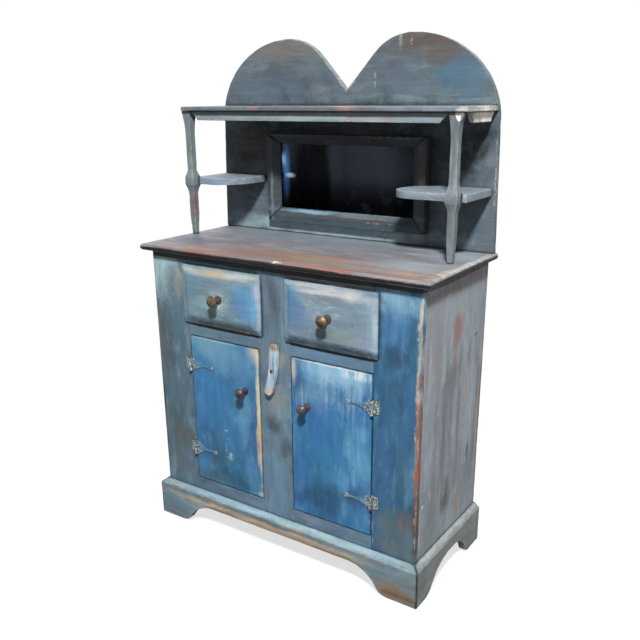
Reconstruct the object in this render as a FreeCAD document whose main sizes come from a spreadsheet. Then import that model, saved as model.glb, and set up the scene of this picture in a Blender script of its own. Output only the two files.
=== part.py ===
import FreeCAD, Part
import math
import os
import re

import Sketcher

# A painted softwood cabinet: a two-door, two-drawer case on a bracket base, and above its worktop a
# double-arched back board with a top shelf on two sawn posts, two small corner shelves and a mirror.
# Millimetres. +Z is up, the doors face -Y and +X is to the right of someone who stands before them.
# The origin lies on the floor under the middle of the whole piece.

# ---------------------------------------------------------------------------------------------
# Driving dimensions
# ---------------------------------------------------------------------------------------------
DIMENSIONS = {
    # case, measured to the outer faces of its boards
    "case_width": 860.0,
    "case_depth": 380.0,
    "case_top": 842.0,
    "case_foot": 76.0,
    "side_board": 19.0,
    "frame_board": 19.0,
    "back_plank": 12.0,
    "plank_gap": 1.0,
    # front frame
    "stile_width": 128.0,
    "centre_stile_width": 104.0,
    "door_sill": 157.0,
    "door_head": 610.0,
    "drawer_sill": 662.0,
    "drawer_head": 802.0,
    # boards inside the case
    "inner_board": 19.0,
    "cupboard_shelf_height": 380.0,
    "cupboard_shelf_setback": 60.0,
    "guide_width": 19.0,
    "guide_height": 22.0,
    "cleat_section": 19.0,
    # worktop
    "worktop_board": 19.0,
    "worktop_front_overhang": 24.0,
    "worktop_side_overhang": 25.0,
    "worktop_nose": 9.0,
    # bracket base
    "plinth_board": 20.0,
    "plinth_height": 118.0,
    "plinth_bevel_fall": 13.0,
    "plinth_bevel_width": 15.0,
    "arch_rise": 70.0,
    "shoulder_share": 0.715,
    "front_foot_width": 87.0,
    "front_ogee_share": 0.171,
    "side_foot_width": 48.0,
    "side_ogee_share": 0.507,
    "rear_foot_width": 68.0,
    "rear_ogee_share": 0.367,
    "block_width": 60.0,
    "block_depth": 25.0,
    # doors
    "door_board": 19.0,
    "door_proud": 2.0,
    "door_gap": 2.5,
    "door_gap_top": 2.0,
    "door_edge_round": 2.0,
    "batten_width": 60.0,
    "batten_board": 16.0,
    "batten_inset": 18.0,
    "batten_from_end": 45.0,
    "door_knob_inset": 50.0,
    "door_knob_height": 479.0,
    "door_knob_length": 38.0,
    "door_knob_head": 29.0,
    # strap hinges
    "hinge_high": 522.0,
    "hinge_low": 257.0,
    "hinge_height": 39.0,
    "leaf_thickness": 2.0,
    "frame_leaf_width": 19.0,
    "strap_length": 82.0,
    "strap_tip_width": 12.0,
    "strap_root_length": 12.0,
    "strap_waist_length": 26.0,
    "hinge_web": 3.0,
    "knuckle_width": 9.0,
    "knuckle_gap": 0.3,
    "pin_width": 4.0,
    "pin_clearance": 0.05,
    "pin_head_width": 6.0,
    "pin_head_height": 1.5,
    # drawers
    "drawer_lip": 13.0,
    "drawer_proud": 14.0,
    "drawer_tongue": 8.0,
    "drawer_bevel_width": 25.0,
    "drawer_bevel_depth": 8.0,
    "drawer_side_gap": 2.0,
    "drawer_run_gap": 0.3,
    "drawer_box_height": 132.0,
    "drawer_end_gap": 30.0,
    "drawer_side": 12.0,
    "drawer_bottom": 7.0,
    "drawer_bottom_rise": 8.0,
    "drawer_knob_length": 38.0,
    "drawer_knob_head": 33.0,
    # knob fixing, shared by all four knobs
    "spigot_width": 7.0,
    "spigot_length": 10.0,
    "spigot_clearance": 0.3,
    # turn button that locks both doors
    "button_length": 150.0,
    "button_width": 25.0,
    "button_board": 14.0,
    "button_bow": 5.0,
    "button_edge_round": 3.5,
    "button_height": 562.0,
    "button_tilt": 9.0,
    "button_clearance": 0.3,
    "button_screw_width": 4.0,
    "button_screw_head": 9.0,
    "button_screw_depth": 14.0,
    "button_screw_rise": 2.7,
    "screw_clearance": 0.3,
    "washer_width": 18.0,
    # upper back board; its heights, and those of all that follows, are counted from the worktop
    "back_width": 884.0,
    "back_splay": 8.0,
    "back_board": 20.0,
    "back_set": 7.0,
    "arch_spring": 329.0,
    "arch_top": 546.0,
    "arch_peak": 195.0,
    "notch_height": 407.0,
    "notch_slope": 47.0,
    # top shelf
    "top_shelf_width": 882.0,
    "top_shelf_depth": 192.0,
    "top_shelf_board": 12.0,
    "top_shelf_height": 367.0,
    "top_shelf_round": 3.0,
    "apron_height": 26.0,
    "apron_board": 12.0,
    "apron_setback": 14.0,
    "apron_end_cut": 24.0,
    "side_apron_inset": 9.0,
    # sawn posts
    "post_left_inset": 10.0,
    "post_right_inset": 34.0,
    "post_setback": 7.0,
    "post_blank": 34.0,
    "post_waist": 20.0,
    "post_foot": 14.0,
    "post_top": 32.0,
    "post_flare": 75.0,
    "post_foot_taper": 60.0,
    "swell_height": 157.0,
    "swell_flat": 24.0,
    "swell_taper": 22.0,
    # corner shelves
    "corner_shelf_board": 20.0,
    "corner_shelf_height": 167.0,
    "corner_shelf_inset": 4.0,
    "corner_shelf_setback": 31.0,
    "left_shelf_reach": 156.0,
    "left_shelf_front_round": 90.0,
    "left_shelf_rear_round": 20.0,
    "right_shelf_reach": 211.0,
    "right_shelf_front_round": 55.0,
    "right_shelf_rear_round": 105.0,
    "notch_clearance": 0.3,
    # mirror
    "mirror_inset": 180.0,
    "mirror_sill": 36.0,
    "mirror_head": 289.0,
    "mirror_rail_width": 40.0,
    "mirror_top_rail": 28.0,
    "mirror_rail_depth": 25.0,
    "mirror_bevel_width": 22.0,
    "mirror_bevel_depth": 14.0,
    "mirror_rebate": 9.0,
    "glass_thickness": 4.0,
    "glass_backing": 4.0,
    "glass_clearance": 0.5,
}

doc = FreeCAD.newDocument("painted_cabinet")
sheet = doc.addObject("Spreadsheet::Sheet", "Dimensions")
for row, (alias, number) in enumerate(DIMENSIONS.items(), start=1):
    sheet.set(f"A{row}", alias)
    sheet.set(f"B{row}", str(number))
    sheet.setAlias(f"B{row}", alias)
doc.recompute()


class Sizes:
    """The sheet's values as attributes, for outlines that are worked out point by point."""

    def __init__(self, cells):
        for alias in DIMENSIONS:
            setattr(self, alias, float(cells.get(alias)))


size = Sizes(sheet)

# The whole piece reaches from the drawer knobs to the back of the case; its middle is Y zero.
MIDDLE = "(case_depth - drawer_proud - drawer_knob_length) / 2"
pieces = []


def formula(text):
    """Turns a formula of dimension names into one that reads the sheet."""
    return re.sub(r"[a-z_]+", lambda word: cell_of(word.group(0)), str(text))


def cell_of(word):
    """Gives a dimension's cell, or the word itself where it isn't a dimension."""
    return f"{sheet.Name}.{word}" if word in DIMENSIONS else word


def place(item, x, y, z):
    """Binds where an object stands; Y is counted from the front face of the frame."""
    item.setExpression("Placement.Base.x", formula(x))
    item.setExpression("Placement.Base.y", formula(f"({y}) - {MIDDLE}"))
    item.setExpression("Placement.Base.z", formula(z))


def piece(item, label):
    """Names a finished sub-part and keeps it for export."""
    item.Label = label
    pieces.append(item)
    return item


def board(label, corner, sizes):
    """Makes a plain rectangular board from its lowest corner and its three sizes."""
    item = doc.addObject("Part::Box", label)
    for name, value in zip(("Length", "Width", "Height"), sizes):
        item.setExpression(name, formula(value))
    place(item, *corner)
    return piece(item, label)


def group(label, members):
    """Joins separate equal solids into one sub-part without fusing them."""
    item = doc.addObject("Part::Compound", label)
    item.Links = members
    return piece(item, label)


def loose_box(name, corner, sizes):
    """Makes a board that is only one member of a group."""
    item = board(name, corner, sizes)
    pieces.remove(item)
    return item


def origin_plane(body, role):
    """Finds one of a body's own origin planes."""
    return next(feature for feature in body.Origin.OriginFeatures if feature.Role == role)


def new_body(label):
    """Starts a PartDesign body."""
    return doc.addObject("PartDesign::Body", label)


def new_sketch(body, name, role):
    """Starts a sketch on one of the body's origin planes."""
    sketch = body.newObject("Sketcher::SketchObject", name)
    sketch.AttachmentSupport = [(origin_plane(body, role), "")]
    sketch.MapMode = "FlatFace"
    return sketch


def draw_outline(sketch, start, steps):
    """Draws a closed outline: each step is an end point, or a middle point and an end point of an arc."""
    here = FreeCAD.Vector(start[0], start[1], 0)
    for step in steps:
        points = [FreeCAD.Vector(x, y, 0) for x, y in step]
        if len(points) == 1:
            edge = Part.LineSegment(here, points[0])
        else:
            edge = Part.Arc(here, points[0], points[1])
        number = sketch.addGeometry(edge, False)
        sketch.addConstraint(Sketcher.Constraint("Block", number))
        here = points[-1]


def draw_circle(sketch, centre, radius):
    """Draws one circle."""
    middle = FreeCAD.Vector(centre[0], centre[1], 0)
    number = sketch.addGeometry(Part.Circle(middle, FreeCAD.Vector(0, 0, 1), radius), False)
    sketch.addConstraint(Sketcher.Constraint("Block", number))


def draw_rectangle(sketch, low, high):
    """Draws a rectangle between two corners."""
    draw_outline(sketch, low, [[(high[0], low[1])], [high], [(low[0], high[1])], [low]])


def pad(body, sketch, length, reverse=False):
    """Pads a sketch by a bound length."""
    feature = body.newObject("PartDesign::Pad", sketch.Name + "_pad")
    feature.Profile = sketch
    feature.setExpression("Length", formula(length))
    feature.Reversed = reverse
    sketch.Visibility = False
    doc.recompute()
    return feature


def pocket(body, sketch, length=None, reverse=False):
    """Cuts a sketch into the body by a bound length, or right through, and makes sure that it cuts."""
    before = body.Shape.Volume
    feature = body.newObject("PartDesign::Pocket", sketch.Name + "_cut")
    feature.Profile = sketch
    if length is None:
        feature.Type = "ThroughAll"
        feature.Midplane = True
    else:
        feature.setExpression("Length", formula(length))
        feature.Reversed = reverse
    sketch.Visibility = False
    doc.recompute()
    if body.Shape.Volume >= before:
        raise RuntimeError(f"{feature.Name} cuts nothing")
    return feature


def edges_where(shape, test):
    """Lists the names of the edges whose two end points both pass a test."""
    names = []
    for number, edge in enumerate(shape.Edges, start=1):
        ends = [vertex.Point for vertex in edge.Vertexes]
        if len(ends) == 2 and all(test(point) for point in ends):
            names.append(f"Edge{number}")
    return names


def near(value, target):
    """Tells whether two lengths are the same."""
    return abs(value - target) < 0.01


def round_edges(body, base, radius, test):
    """Rounds the edges that pass the test."""
    feature = body.newObject("PartDesign::Fillet", base.Name + "_round")
    feature.Base = (base, edges_where(base.Shape, test))
    feature.setExpression("Radius", formula(radius))
    doc.recompute()
    return feature


def bevel_edges(body, base, first, second, test, flip=False):
    """Bevels the edges that pass the test, with its two distances."""
    feature = body.newObject("PartDesign::Chamfer", base.Name + "_bevel")
    feature.Base = (base, edges_where(base.Shape, test))
    feature.ChamferType = 1
    feature.setExpression("Size", formula(first))
    feature.setExpression("Size2", formula(second))
    feature.FlipDirection = flip
    doc.recompute()
    return feature


# ---------------------------------------------------------------------------------------------
# Case
# ---------------------------------------------------------------------------------------------
INNER_HALF = "(case_width / 2 - side_board)"
INNER_WIDTH = "(case_width - 2 * side_board)"
INNER_DEPTH = "(case_depth - frame_board - back_plank)"
OPENING = "(case_width / 2 - stile_width - centre_stile_width / 2)"


def opening_middle(way):
    """Gives the formula of the middle line of the left or right openings."""
    return f"{way} * (centre_stile_width / 2 + {OPENING} / 2)"


def make_sides():
    """Makes the two side boards, which stand behind the front frame."""
    depth = "case_depth - frame_board"
    height = "case_top - case_foot"
    for label, left in (("side_panel_left", "-case_width / 2"), ("side_panel_right", INNER_HALF)):
        board(label, (left, "frame_board", "case_foot"), ("side_board", depth, height))


def make_front_frame():
    """Makes the stiles and the rails that are let in between them."""
    height = "case_top - case_foot"
    left = "-case_width / 2"
    right = "case_width / 2 - stile_width"
    board("stile_left", (left, "0", "case_foot"), ("stile_width", "frame_board", height))
    board("stile_right", (right, "0", "case_foot"), ("stile_width", "frame_board", height))
    make_centre_stile()
    rails = (
        ("bottom_rails", "case_foot", "door_sill - case_foot"),
        ("middle_rails", "door_head", "drawer_sill - door_head"),
        ("top_rails", "drawer_head", "case_top - drawer_head"),
    )
    for label, low, rail_height in rails:
        pair = []
        left_end = f"-centre_stile_width / 2 - {OPENING}"
        for side, x in (("left", left_end), ("right", "centre_stile_width / 2")):
            pair.append(loose_box(f"{label}_{side}", (x, "0", low), (OPENING, "frame_board", rail_height)))
        group(label, pair)


def make_centre_stile():
    """Makes the middle upright with the pilot hole of the turn button's screw."""
    body = new_body("centre_stile")
    outline = new_sketch(body, "centre_stile_outline", "XZ_Plane")
    half = size.centre_stile_width / 2
    draw_rectangle(outline, (-half, size.case_foot), (half, size.case_top))
    pad(body, outline, "frame_board", reverse=True)
    hole = new_sketch(body, "button_pilot", "XZ_Plane")
    draw_circle(hole, (0, size.button_height), size.button_screw_width / 2 + size.screw_clearance)
    pocket(body, hole, "button_screw_depth + 1", reverse=False)
    place(body, "0", "0", "0")
    piece(body, "centre_stile")


def make_inner_boards():
    """Makes the cupboard floor, its shelf, the board that the drawers run on and the back planks."""
    left = f"-{INNER_HALF}"
    floor = "door_sill - inner_board"
    board("cupboard_floor", (left, "frame_board", floor), (INNER_WIDTH, INNER_DEPTH, "inner_board"))
    shelf_front = "frame_board + cupboard_shelf_setback"
    shelf_depth = f"{INNER_DEPTH} - cupboard_shelf_setback"
    shelf_size = (INNER_WIDTH, shelf_depth, "inner_board")
    board("cupboard_shelf", (left, shelf_front, "cupboard_shelf_height"), shelf_size)
    deck = "drawer_sill - inner_board"
    board("drawer_deck", (left, "frame_board", deck), (INNER_WIDTH, INNER_DEPTH, "inner_board"))
    plank_width = f"({INNER_WIDTH} - 3 * plank_gap) / 4"
    planks = []
    for number in range(4):
        x = f"{left} + {number} * ({plank_width} + plank_gap)"
        low = (x, "case_depth - back_plank", "case_foot")
        planks.append(loose_box(f"plank_{number}", low, (plank_width, "back_plank", "case_top - case_foot")))
    group("back_planks", planks)


def make_cleats():
    """Makes the cleats under the shelf and the guides beside the drawers."""
    shelf_front = "frame_board + cupboard_shelf_setback"
    cleat = ("cleat_section", f"{INNER_DEPTH} - cupboard_shelf_setback", "cleat_section")
    low = "cupboard_shelf_height - cleat_section"
    left = loose_box("cleat_left", (f"-{INNER_HALF}", shelf_front, low), cleat)
    right = loose_box("cleat_right", (f"{INNER_HALF} - cleat_section", shelf_front, low), cleat)
    group("shelf_cleats", [left, right])
    guides = []
    guide = ("guide_width", INNER_DEPTH, "guide_height")
    edge = "centre_stile_width / 2"
    places = (
        f"-{edge} - {OPENING} - guide_width",
        f"-{edge}",
        f"{edge} - guide_width",
        f"{edge} + {OPENING}",
    )
    for number, x in enumerate(places):
        guides.append(loose_box(f"guide_{number}", (x, "frame_board", "drawer_sill"), guide))
    group("drawer_guides", guides)
    kickers = []
    kicker = ("cleat_section", INNER_DEPTH, "case_top - drawer_head")
    for number, sign in enumerate((-1, 1)):
        middle = f"{sign} * (centre_stile_width / 2 + {OPENING} / 2)"
        low = (f"{middle} - cleat_section / 2", "frame_board", "drawer_head")
        kickers.append(loose_box(f"kicker_{number}", low, kicker))
    group("drawer_kickers", kickers)


def make_worktop():
    """Makes the worktop: one board with a rounded nose along its front and both ends."""
    body = new_body("worktop")
    outline = new_sketch(body, "worktop_outline", "XY_Plane")
    half = size.case_width / 2 + size.worktop_side_overhang
    front = -size.worktop_front_overhang
    draw_rectangle(outline, (-half, front), (half, size.case_depth))
    base = pad(body, outline, "worktop_board")

    def on_front(point):
        return near(point.y, front)

    def on_left(point):
        return near(point.x, -half)

    def on_right(point):
        return near(point.x, half)

    names = set()
    for side in (on_front, on_left, on_right):
        names.update(edges_where(base.Shape, side))
    level = [name for name in names if near(base.Shape.getElement(name).BoundBox.ZLength, 0)]
    nose = body.newObject("PartDesign::Fillet", "worktop_nose_round")
    nose.Base = (base, sorted(level))
    nose.setExpression("Radius", formula("worktop_nose"))
    place(body, "0", "0", "case_top")
    piece(body, "worktop")


# ---------------------------------------------------------------------------------------------
# Bracket base: three mitred boards whose lower edges are sawn to an ogee beside each foot
# ---------------------------------------------------------------------------------------------
def ogee(inner, outer, rise, share):
    """Gives the two arcs of an S-shaped edge, from the flat at the inner end down to the foot.

    Both arcs are level at their outer ends and share a tangent where they meet.
    """
    run = abs(outer - inner)
    way = 1 if outer > inner else -1
    turn = 2 * math.atan2(rise, run)
    radii = run / math.sin(turn)
    shoulder = radii * share
    toe = radii - shoulder
    meet = (inner + way * shoulder * math.sin(turn), rise - shoulder * (1 - math.cos(turn)))
    half_turn = turn / 2
    first = (inner + way * shoulder * math.sin(half_turn), rise - shoulder * (1 - math.cos(half_turn)))
    last = (outer - way * toe * math.sin(half_turn), toe * (1 - math.cos(half_turn)))
    return [first, meet], [last, (outer, 0)]


def backwards(start, arcs):
    """Turns the two arcs of an ogee round, so that they run from the foot up to the flat."""
    (first, meet), (last, _) = arcs
    return [last, meet], [first, start]


def make_plinth_front():
    """Makes the front board of the base, mitred at both ends."""
    half = size.case_width / 2 + size.plinth_board
    height = size.plinth_height
    foot = half - size.front_foot_width
    flat = foot - 2 * foot * size.front_ogee_share
    rise = size.arch_rise
    body = new_body("plinth_front")
    outline = new_sketch(body, "plinth_front_outline", "XZ_Plane")
    right = ogee(flat, foot, rise, size.shoulder_share)
    left = backwards((-flat, rise), ogee(-flat, -foot, rise, size.shoulder_share))
    steps = [[(-foot, 0)], *left, [(flat, rise)], *right, [(half, 0)], [(half, height)]]
    draw_outline(outline, (-half, 0), [*steps, [(-half, height)], [(-half, 0)]])
    base = pad(body, outline, "plinth_board", reverse=False)

    def on_top_front(point):
        return near(point.z, height) and near(point.y, -size.plinth_board)

    bevel_edges(body, base, "plinth_bevel_fall", "plinth_bevel_width", on_top_front, flip=True)
    mitre = new_sketch(body, "plinth_front_mitre", "XY_Plane")
    inner = half - size.plinth_board
    front = -size.plinth_board
    for way in (-1, 1):
        start = (way * (half + 1), front - 1)
        draw_outline(mitre, start, [[(way * (half + 1), 1)], [(way * (inner - 1), 1)], [start]])
    pocket(body, mitre)
    place(body, "0", "0", "0")
    piece(body, "plinth_front")


def make_plinth_side(label, way):
    """Makes one side board of the base, mitred at its front end only."""
    front = -size.plinth_board
    back = size.case_depth
    rise = size.arch_rise
    height = size.plinth_height
    front_foot = front + size.side_foot_width
    rear_foot = back - size.rear_foot_width
    arch = rear_foot - front_foot
    front_flat = front_foot + arch * size.side_ogee_share
    rear_flat = rear_foot - arch * size.rear_ogee_share
    body = new_body(label)
    outline = new_sketch(body, label + "_outline", "YZ_Plane")
    first = backwards((front_flat, rise), ogee(front_flat, front_foot, rise, size.shoulder_share))
    last = ogee(rear_flat, rear_foot, rise, size.shoulder_share)
    steps = [[(front_foot, 0)], *first, [(rear_flat, rise)], *last, [(back, 0)], [(back, height)]]
    draw_outline(outline, (front, 0), [*steps, [(front, height)], [(front, 0)]])
    base = pad(body, outline, "plinth_board", reverse=way < 0)

    def on_top_outside(point):
        return near(point.z, height) and near(abs(point.x), size.plinth_board)

    bevel_edges(body, base, "plinth_bevel_fall", "plinth_bevel_width", on_top_outside, flip=True)
    mitre = new_sketch(body, label + "_mitre", "XY_Plane")
    outside = way * (size.plinth_board + 1)
    steps = [[(-way, 1)], [(outside, front - 1)], [(-way, front - 1)]]
    draw_outline(mitre, (-way, front - 1), steps)
    pocket(body, mitre)
    place(body, f"{way} * case_width / 2", "0", "0")
    piece(body, label)


def make_corner_blocks():
    """Makes the four blocks that stand inside the feet and carry the case."""
    left = "-case_width / 2"
    right = "case_width / 2 - block_width"
    rear = "case_depth - block_depth"
    blocks = []
    for number, (x, y) in enumerate(((left, "0"), (right, "0"), (left, rear), (right, rear))):
        blocks.append(loose_box(f"block_{number}", (x, y, "0"), ("block_width", "block_depth", "case_foot")))
    group("corner_blocks", blocks)


# ---------------------------------------------------------------------------------------------
# Doors, battens, knobs and strap hinges
# ---------------------------------------------------------------------------------------------
def hinge_line():
    """Gives how far the hinge pins stand from the middle of the case."""
    return size.centre_stile_width / 2 + door_opening()


def door_opening():
    """Gives the width of each of the two openings in the front frame."""
    return size.case_width / 2 - size.stile_width - size.centre_stile_width / 2


def make_door(label, way):
    """Makes one plain board door with eased edges and the hole of its knob."""
    body = new_body(label)
    outline = new_sketch(body, label + "_outline", "XZ_Plane")
    free_edge = size.centre_stile_width / 2 + size.door_gap
    hung_edge = hinge_line() - size.door_gap
    low = size.door_sill + size.door_gap_top
    high = size.door_head - size.door_gap_top
    draw_rectangle(outline, (way * free_edge, low), (way * hung_edge, high))
    base = pad(body, outline, "door_board", reverse=True)

    def on_face(point):
        return near(point.y, 0)

    round_edges(body, base, "door_edge_round", on_face)
    hole = new_sketch(body, label + "_knob_hole", "XZ_Plane")
    centre = (way * (free_edge + size.door_knob_inset), size.door_knob_height)
    draw_circle(hole, centre, size.spigot_width / 2 + size.spigot_clearance)
    pocket(body, hole, "spigot_length + 1", reverse=False)
    place(body, "0", "-door_proud", "0")
    piece(body, label)


def make_battens(label, way):
    """Makes the two battens across the back of one door."""
    width = f"{OPENING} - 2 * door_gap - 2 * batten_inset"
    x = f"{opening_middle(way)} - ({width}) / 2"
    y = "door_board - door_proud"
    lows = ("door_sill + batten_from_end", "door_head - batten_from_end - batten_width")
    battens = []
    for number, low in enumerate(lows):
        battens.append(loose_box(f"{label}_{number}", (x, y, low), (width, "batten_board", "batten_width")))
    group(label, battens)


# Depths are shares of a knob's length, widths are shares of its head's.
KNOB_SHARES = {
    "rose_width": 0.72,
    "rose_edge": 0.05,
    "rose_depth": 0.13,
    "neck_width": 0.38,
    "neck_depth": 0.56,
    "throat_width": 0.50,
    "dome_depth": 0.26,
}


def dome_point(radius, rise, top):
    """Gives the point half way along a dome's profile, which meets the axis squarely at its top."""
    sphere = (radius * radius + rise * rise) / (2 * rise)
    half_turn = math.asin(radius / sphere) / 2
    return (sphere * math.sin(half_turn), sphere * (1 - math.cos(half_turn)) + top)


def make_knob(label, length, head, x, y, z):
    """Turns one knob about its own axis: rose, neck, mushroom head and the spigot in the board."""
    body = new_body(label)
    half = new_sketch(body, label + "_profile", "XY_Plane")
    total = getattr(size, length)
    rim = getattr(size, head) / 2
    rose = rim * KNOB_SHARES["rose_width"]
    neck = rim * KNOB_SHARES["neck_width"]
    throat = rim * KNOB_SHARES["throat_width"]
    spigot = size.spigot_width / 2
    dome = total * KNOB_SHARES["dome_depth"]
    draw_outline(
        half,
        (0, size.spigot_length),
        [
            [(spigot, size.spigot_length)],
            [(spigot, 0)],
            [(rose, 0)],
            [(rose, -total * KNOB_SHARES["rose_edge"])],
            [(neck, -total * KNOB_SHARES["rose_depth"])],
            [(throat, -total * KNOB_SHARES["neck_depth"])],
            [(rim, dome - total)],
            [dome_point(rim, dome, -total), (0, -total)],
            [(0, size.spigot_length)],
        ],
    )
    turned = body.newObject("PartDesign::Revolution", label + "_turned")
    turned.Profile = half
    turned.ReferenceAxis = (half, ["V_Axis"])
    turned.Angle = 360
    half.Visibility = False
    place(body, x, y, z)
    piece(body, label)


def make_hinges(side, way):
    """Makes the leaves, the straps and the pins of one door's two hinges."""
    leaves, straps, pins = [], [], []
    for name, centre in (("high", size.hinge_high), ("low", size.hinge_low)):
        leaves.append(frame_leaf(f"leaf_{side}_{name}", way, centre))
        straps.append(strap(f"strap_{side}_{name}", way, centre))
        pins.append(hinge_pin(f"pin_{side}_{name}", way, centre))
    group(f"hinge_leaves_{side}", leaves)
    group(f"hinge_straps_{side}", straps)
    group(f"hinge_pins_{side}", pins)


# How far a frame leaf's corners and a strap's root fall short of the full height, as shares of half of it.
LEAF_TAPER = 0.22
STRAP_ROOT = 0.95


def knuckle_depth():
    """Gives how far the pins' axis stands before the frame."""
    return size.door_proud + size.leaf_thickness + size.knuckle_width / 2 - size.leaf_thickness / 2


def knuckle(low, high):
    """Makes one length of a hinge's rolled knuckle with its bore."""
    outer = Part.makeCylinder(size.knuckle_width / 2, high - low, FreeCAD.Vector(0, 0, low))
    bore = size.pin_width / 2 + size.pin_clearance
    return outer.cut(Part.makeCylinder(bore, high - low + 2, FreeCAD.Vector(0, 0, low - 1)))


def bored(shape, height):
    """Clears the pin's bore through a hinge leaf."""
    bore = size.pin_width / 2 + size.pin_clearance
    return shape.cut(Part.makeCylinder(bore, height * 2, FreeCAD.Vector(0, 0, -height)))


def plate(points, back, thickness):
    """Makes a flat plate from its outline, counted from the pin's axis."""
    wire = Part.makePolygon([FreeCAD.Vector(x, back, z) for x, z in [*points, points[0]]])
    return Part.Face(wire).extrude(FreeCAD.Vector(0, -thickness, 0))


def outline_face(start, steps, back):
    """Makes an upright face from an outline of lines and arcs, counted from the pin's axis."""
    here = FreeCAD.Vector(start[0], back, start[1])
    edges = []
    for step in steps:
        points = [FreeCAD.Vector(x, back, z) for x, z in step]
        curve = Part.LineSegment(here, points[0]) if len(points) == 1 else Part.Arc(here, *points)
        edges.append(curve.toShape())
        here = points[-1]
    return Part.Face(Part.Wire(edges))


def clear_band(low, high):
    """Gives the space that the other half's knuckle takes out of a leaf, back to the wood."""
    half = size.knuckle_width / 2 + size.knuckle_gap
    return Part.makeBox(2 * half, half + 2 * knuckle_depth(), high - low, FreeCAD.Vector(-half, -half, low))


def hinge_feature(name, shape, way, centre):
    """Keeps a hinge half at its pin's axis."""
    item = doc.addObject("Part::Feature", name)
    item.Shape = shape if way < 0 else shape.mirror(FreeCAD.Vector(0, 0, 0), FreeCAD.Vector(1, 0, 0))
    place(item, str(way * hinge_line()), str(-knuckle_depth()), str(centre))
    return item


def frame_leaf(name, way, centre):
    """Makes the leaf on the frame: a plate with the outer two knuckles."""
    half = size.hinge_height / 2
    third = size.hinge_height / 6
    back = knuckle_depth()
    width = size.frame_leaf_width
    slope = half * LEAF_TAPER
    outline = [(0, -half), (0, half), (-width, half - slope), (-width, slope - half)]
    leaf = plate(outline, back, size.leaf_thickness)
    join = -size.hinge_web
    web = plate([(0, -half), (0, half), (join, half), (join, -half)], back, back)
    gap = third + size.knuckle_gap
    shape = leaf.fuse(web).fuse(knuckle(gap, half)).fuse(knuckle(-half, -gap))
    shape = shape.cut(clear_band(-gap, gap))
    return hinge_feature(name, bored(shape, half).removeSplitter(), way, centre)


def strap(name, way, centre):
    """Makes the strap on the door: a tapered plate with a round tip and the middle knuckle."""
    half = size.hinge_height / 2
    third = size.hinge_height / 6
    tip = size.strap_tip_width / 2
    length = size.strap_length
    back = knuckle_depth() - size.door_proud
    root = half * STRAP_ROOT
    shoulder = size.strap_root_length
    waist = (size.strap_waist_length, tip * 1.5)
    steps = [
        [(shoulder, -root)],
        [(waist[0], -waist[1]), (length - tip, -tip)],
        [(length, 0), (length - tip, tip)],
        [waist, (shoulder, root)],
        [(0, root)],
        [(0, -root)],
    ]
    leaf = outline_face((0, -root), steps, back).extrude(FreeCAD.Vector(0, -size.leaf_thickness, 0))
    gap = third
    for low, high in ((gap, half + 1), (-half - 1, -gap)):
        leaf = leaf.cut(clear_band(low, high))
    join = size.hinge_web
    web = plate([(0, -gap), (0, gap), (join, gap), (join, -gap)], back, back)
    shape = leaf.fuse(web).fuse(knuckle(-gap, gap))
    return hinge_feature(name, bored(shape, half).removeSplitter(), way, centre)


def hinge_pin(name, way, centre):
    """Makes one loose pin with a domed head above the knuckles."""
    half = size.hinge_height / 2
    shank = Part.makeCylinder(size.pin_width / 2, 2 * half, FreeCAD.Vector(0, 0, -half))
    head = Part.makeCylinder(size.pin_head_width / 2, size.pin_head_height, FreeCAD.Vector(0, 0, half))
    return hinge_feature(name, shank.fuse(head).removeSplitter(), way, centre)


# ---------------------------------------------------------------------------------------------
# Drawers: a lipped, bevelled front on a nailed box
# ---------------------------------------------------------------------------------------------
def make_drawer_front(label, way):
    """Makes one drawer front: a bevelled face that overlaps the frame and a tongue that enters it."""
    half = door_opening() / 2 + size.drawer_lip
    low = size.drawer_sill - size.drawer_lip
    high = size.drawer_head + size.drawer_lip
    body = new_body(label)
    face = new_sketch(body, label + "_face", "XZ_Plane")
    draw_rectangle(face, (-half, low), (half, high))
    base = pad(body, face, "drawer_proud", reverse=False)

    def on_face(point):
        return near(point.y, -size.drawer_proud)

    bevel_edges(body, base, "drawer_bevel_width", "drawer_bevel_depth", on_face, flip=True)
    tongue = new_sketch(body, label + "_tongue", "XZ_Plane")
    side = door_opening() / 2 - size.drawer_side_gap
    bottom = size.drawer_sill + size.drawer_run_gap
    draw_rectangle(tongue, (-side, bottom), (side, bottom + size.drawer_box_height))
    pad(body, tongue, "drawer_tongue", reverse=True)
    hole = new_sketch(body, label + "_knob_hole", "XZ_Plane")
    middle = (size.drawer_sill + size.drawer_head) / 2
    draw_circle(hole, (0, middle), size.spigot_width / 2 + size.spigot_clearance)
    pocket(body, hole)
    place(body, opening_middle(way), "0", "0")
    piece(body, label)


def make_drawer_box(name, way):
    """Makes the two sides, the back and the bottom of one drawer."""
    depth = "(case_depth - back_plank - drawer_end_gap - drawer_tongue)"
    middle = opening_middle(way)
    half = f"({OPENING} / 2 - drawer_side_gap)"
    low = "drawer_sill + drawer_run_gap"
    front = "drawer_tongue"
    side = ("drawer_side", depth, "drawer_box_height")
    near_side = loose_box(f"{name}_side_a", (f"{middle} - {half}", front, low), side)
    far_side = loose_box(f"{name}_side_b", (f"{middle} + {half} - drawer_side", front, low), side)
    group(f"{name}_sides", [near_side, far_side])
    inner = f"(2 * {half} - 2 * drawer_side)"
    inner_left = f"{middle} - {half} + drawer_side"
    back = f"{front} + {depth} - drawer_side"
    floor = f"{low} + drawer_bottom_rise"
    rise = "drawer_box_height - drawer_bottom_rise - drawer_bottom"
    board(f"{name}_back", (inner_left, back, f"{floor} + drawer_bottom"), (inner, "drawer_side", rise))
    board(f"{name}_bottom", (inner_left, front, floor), (inner, depth, "drawer_bottom"))


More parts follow.
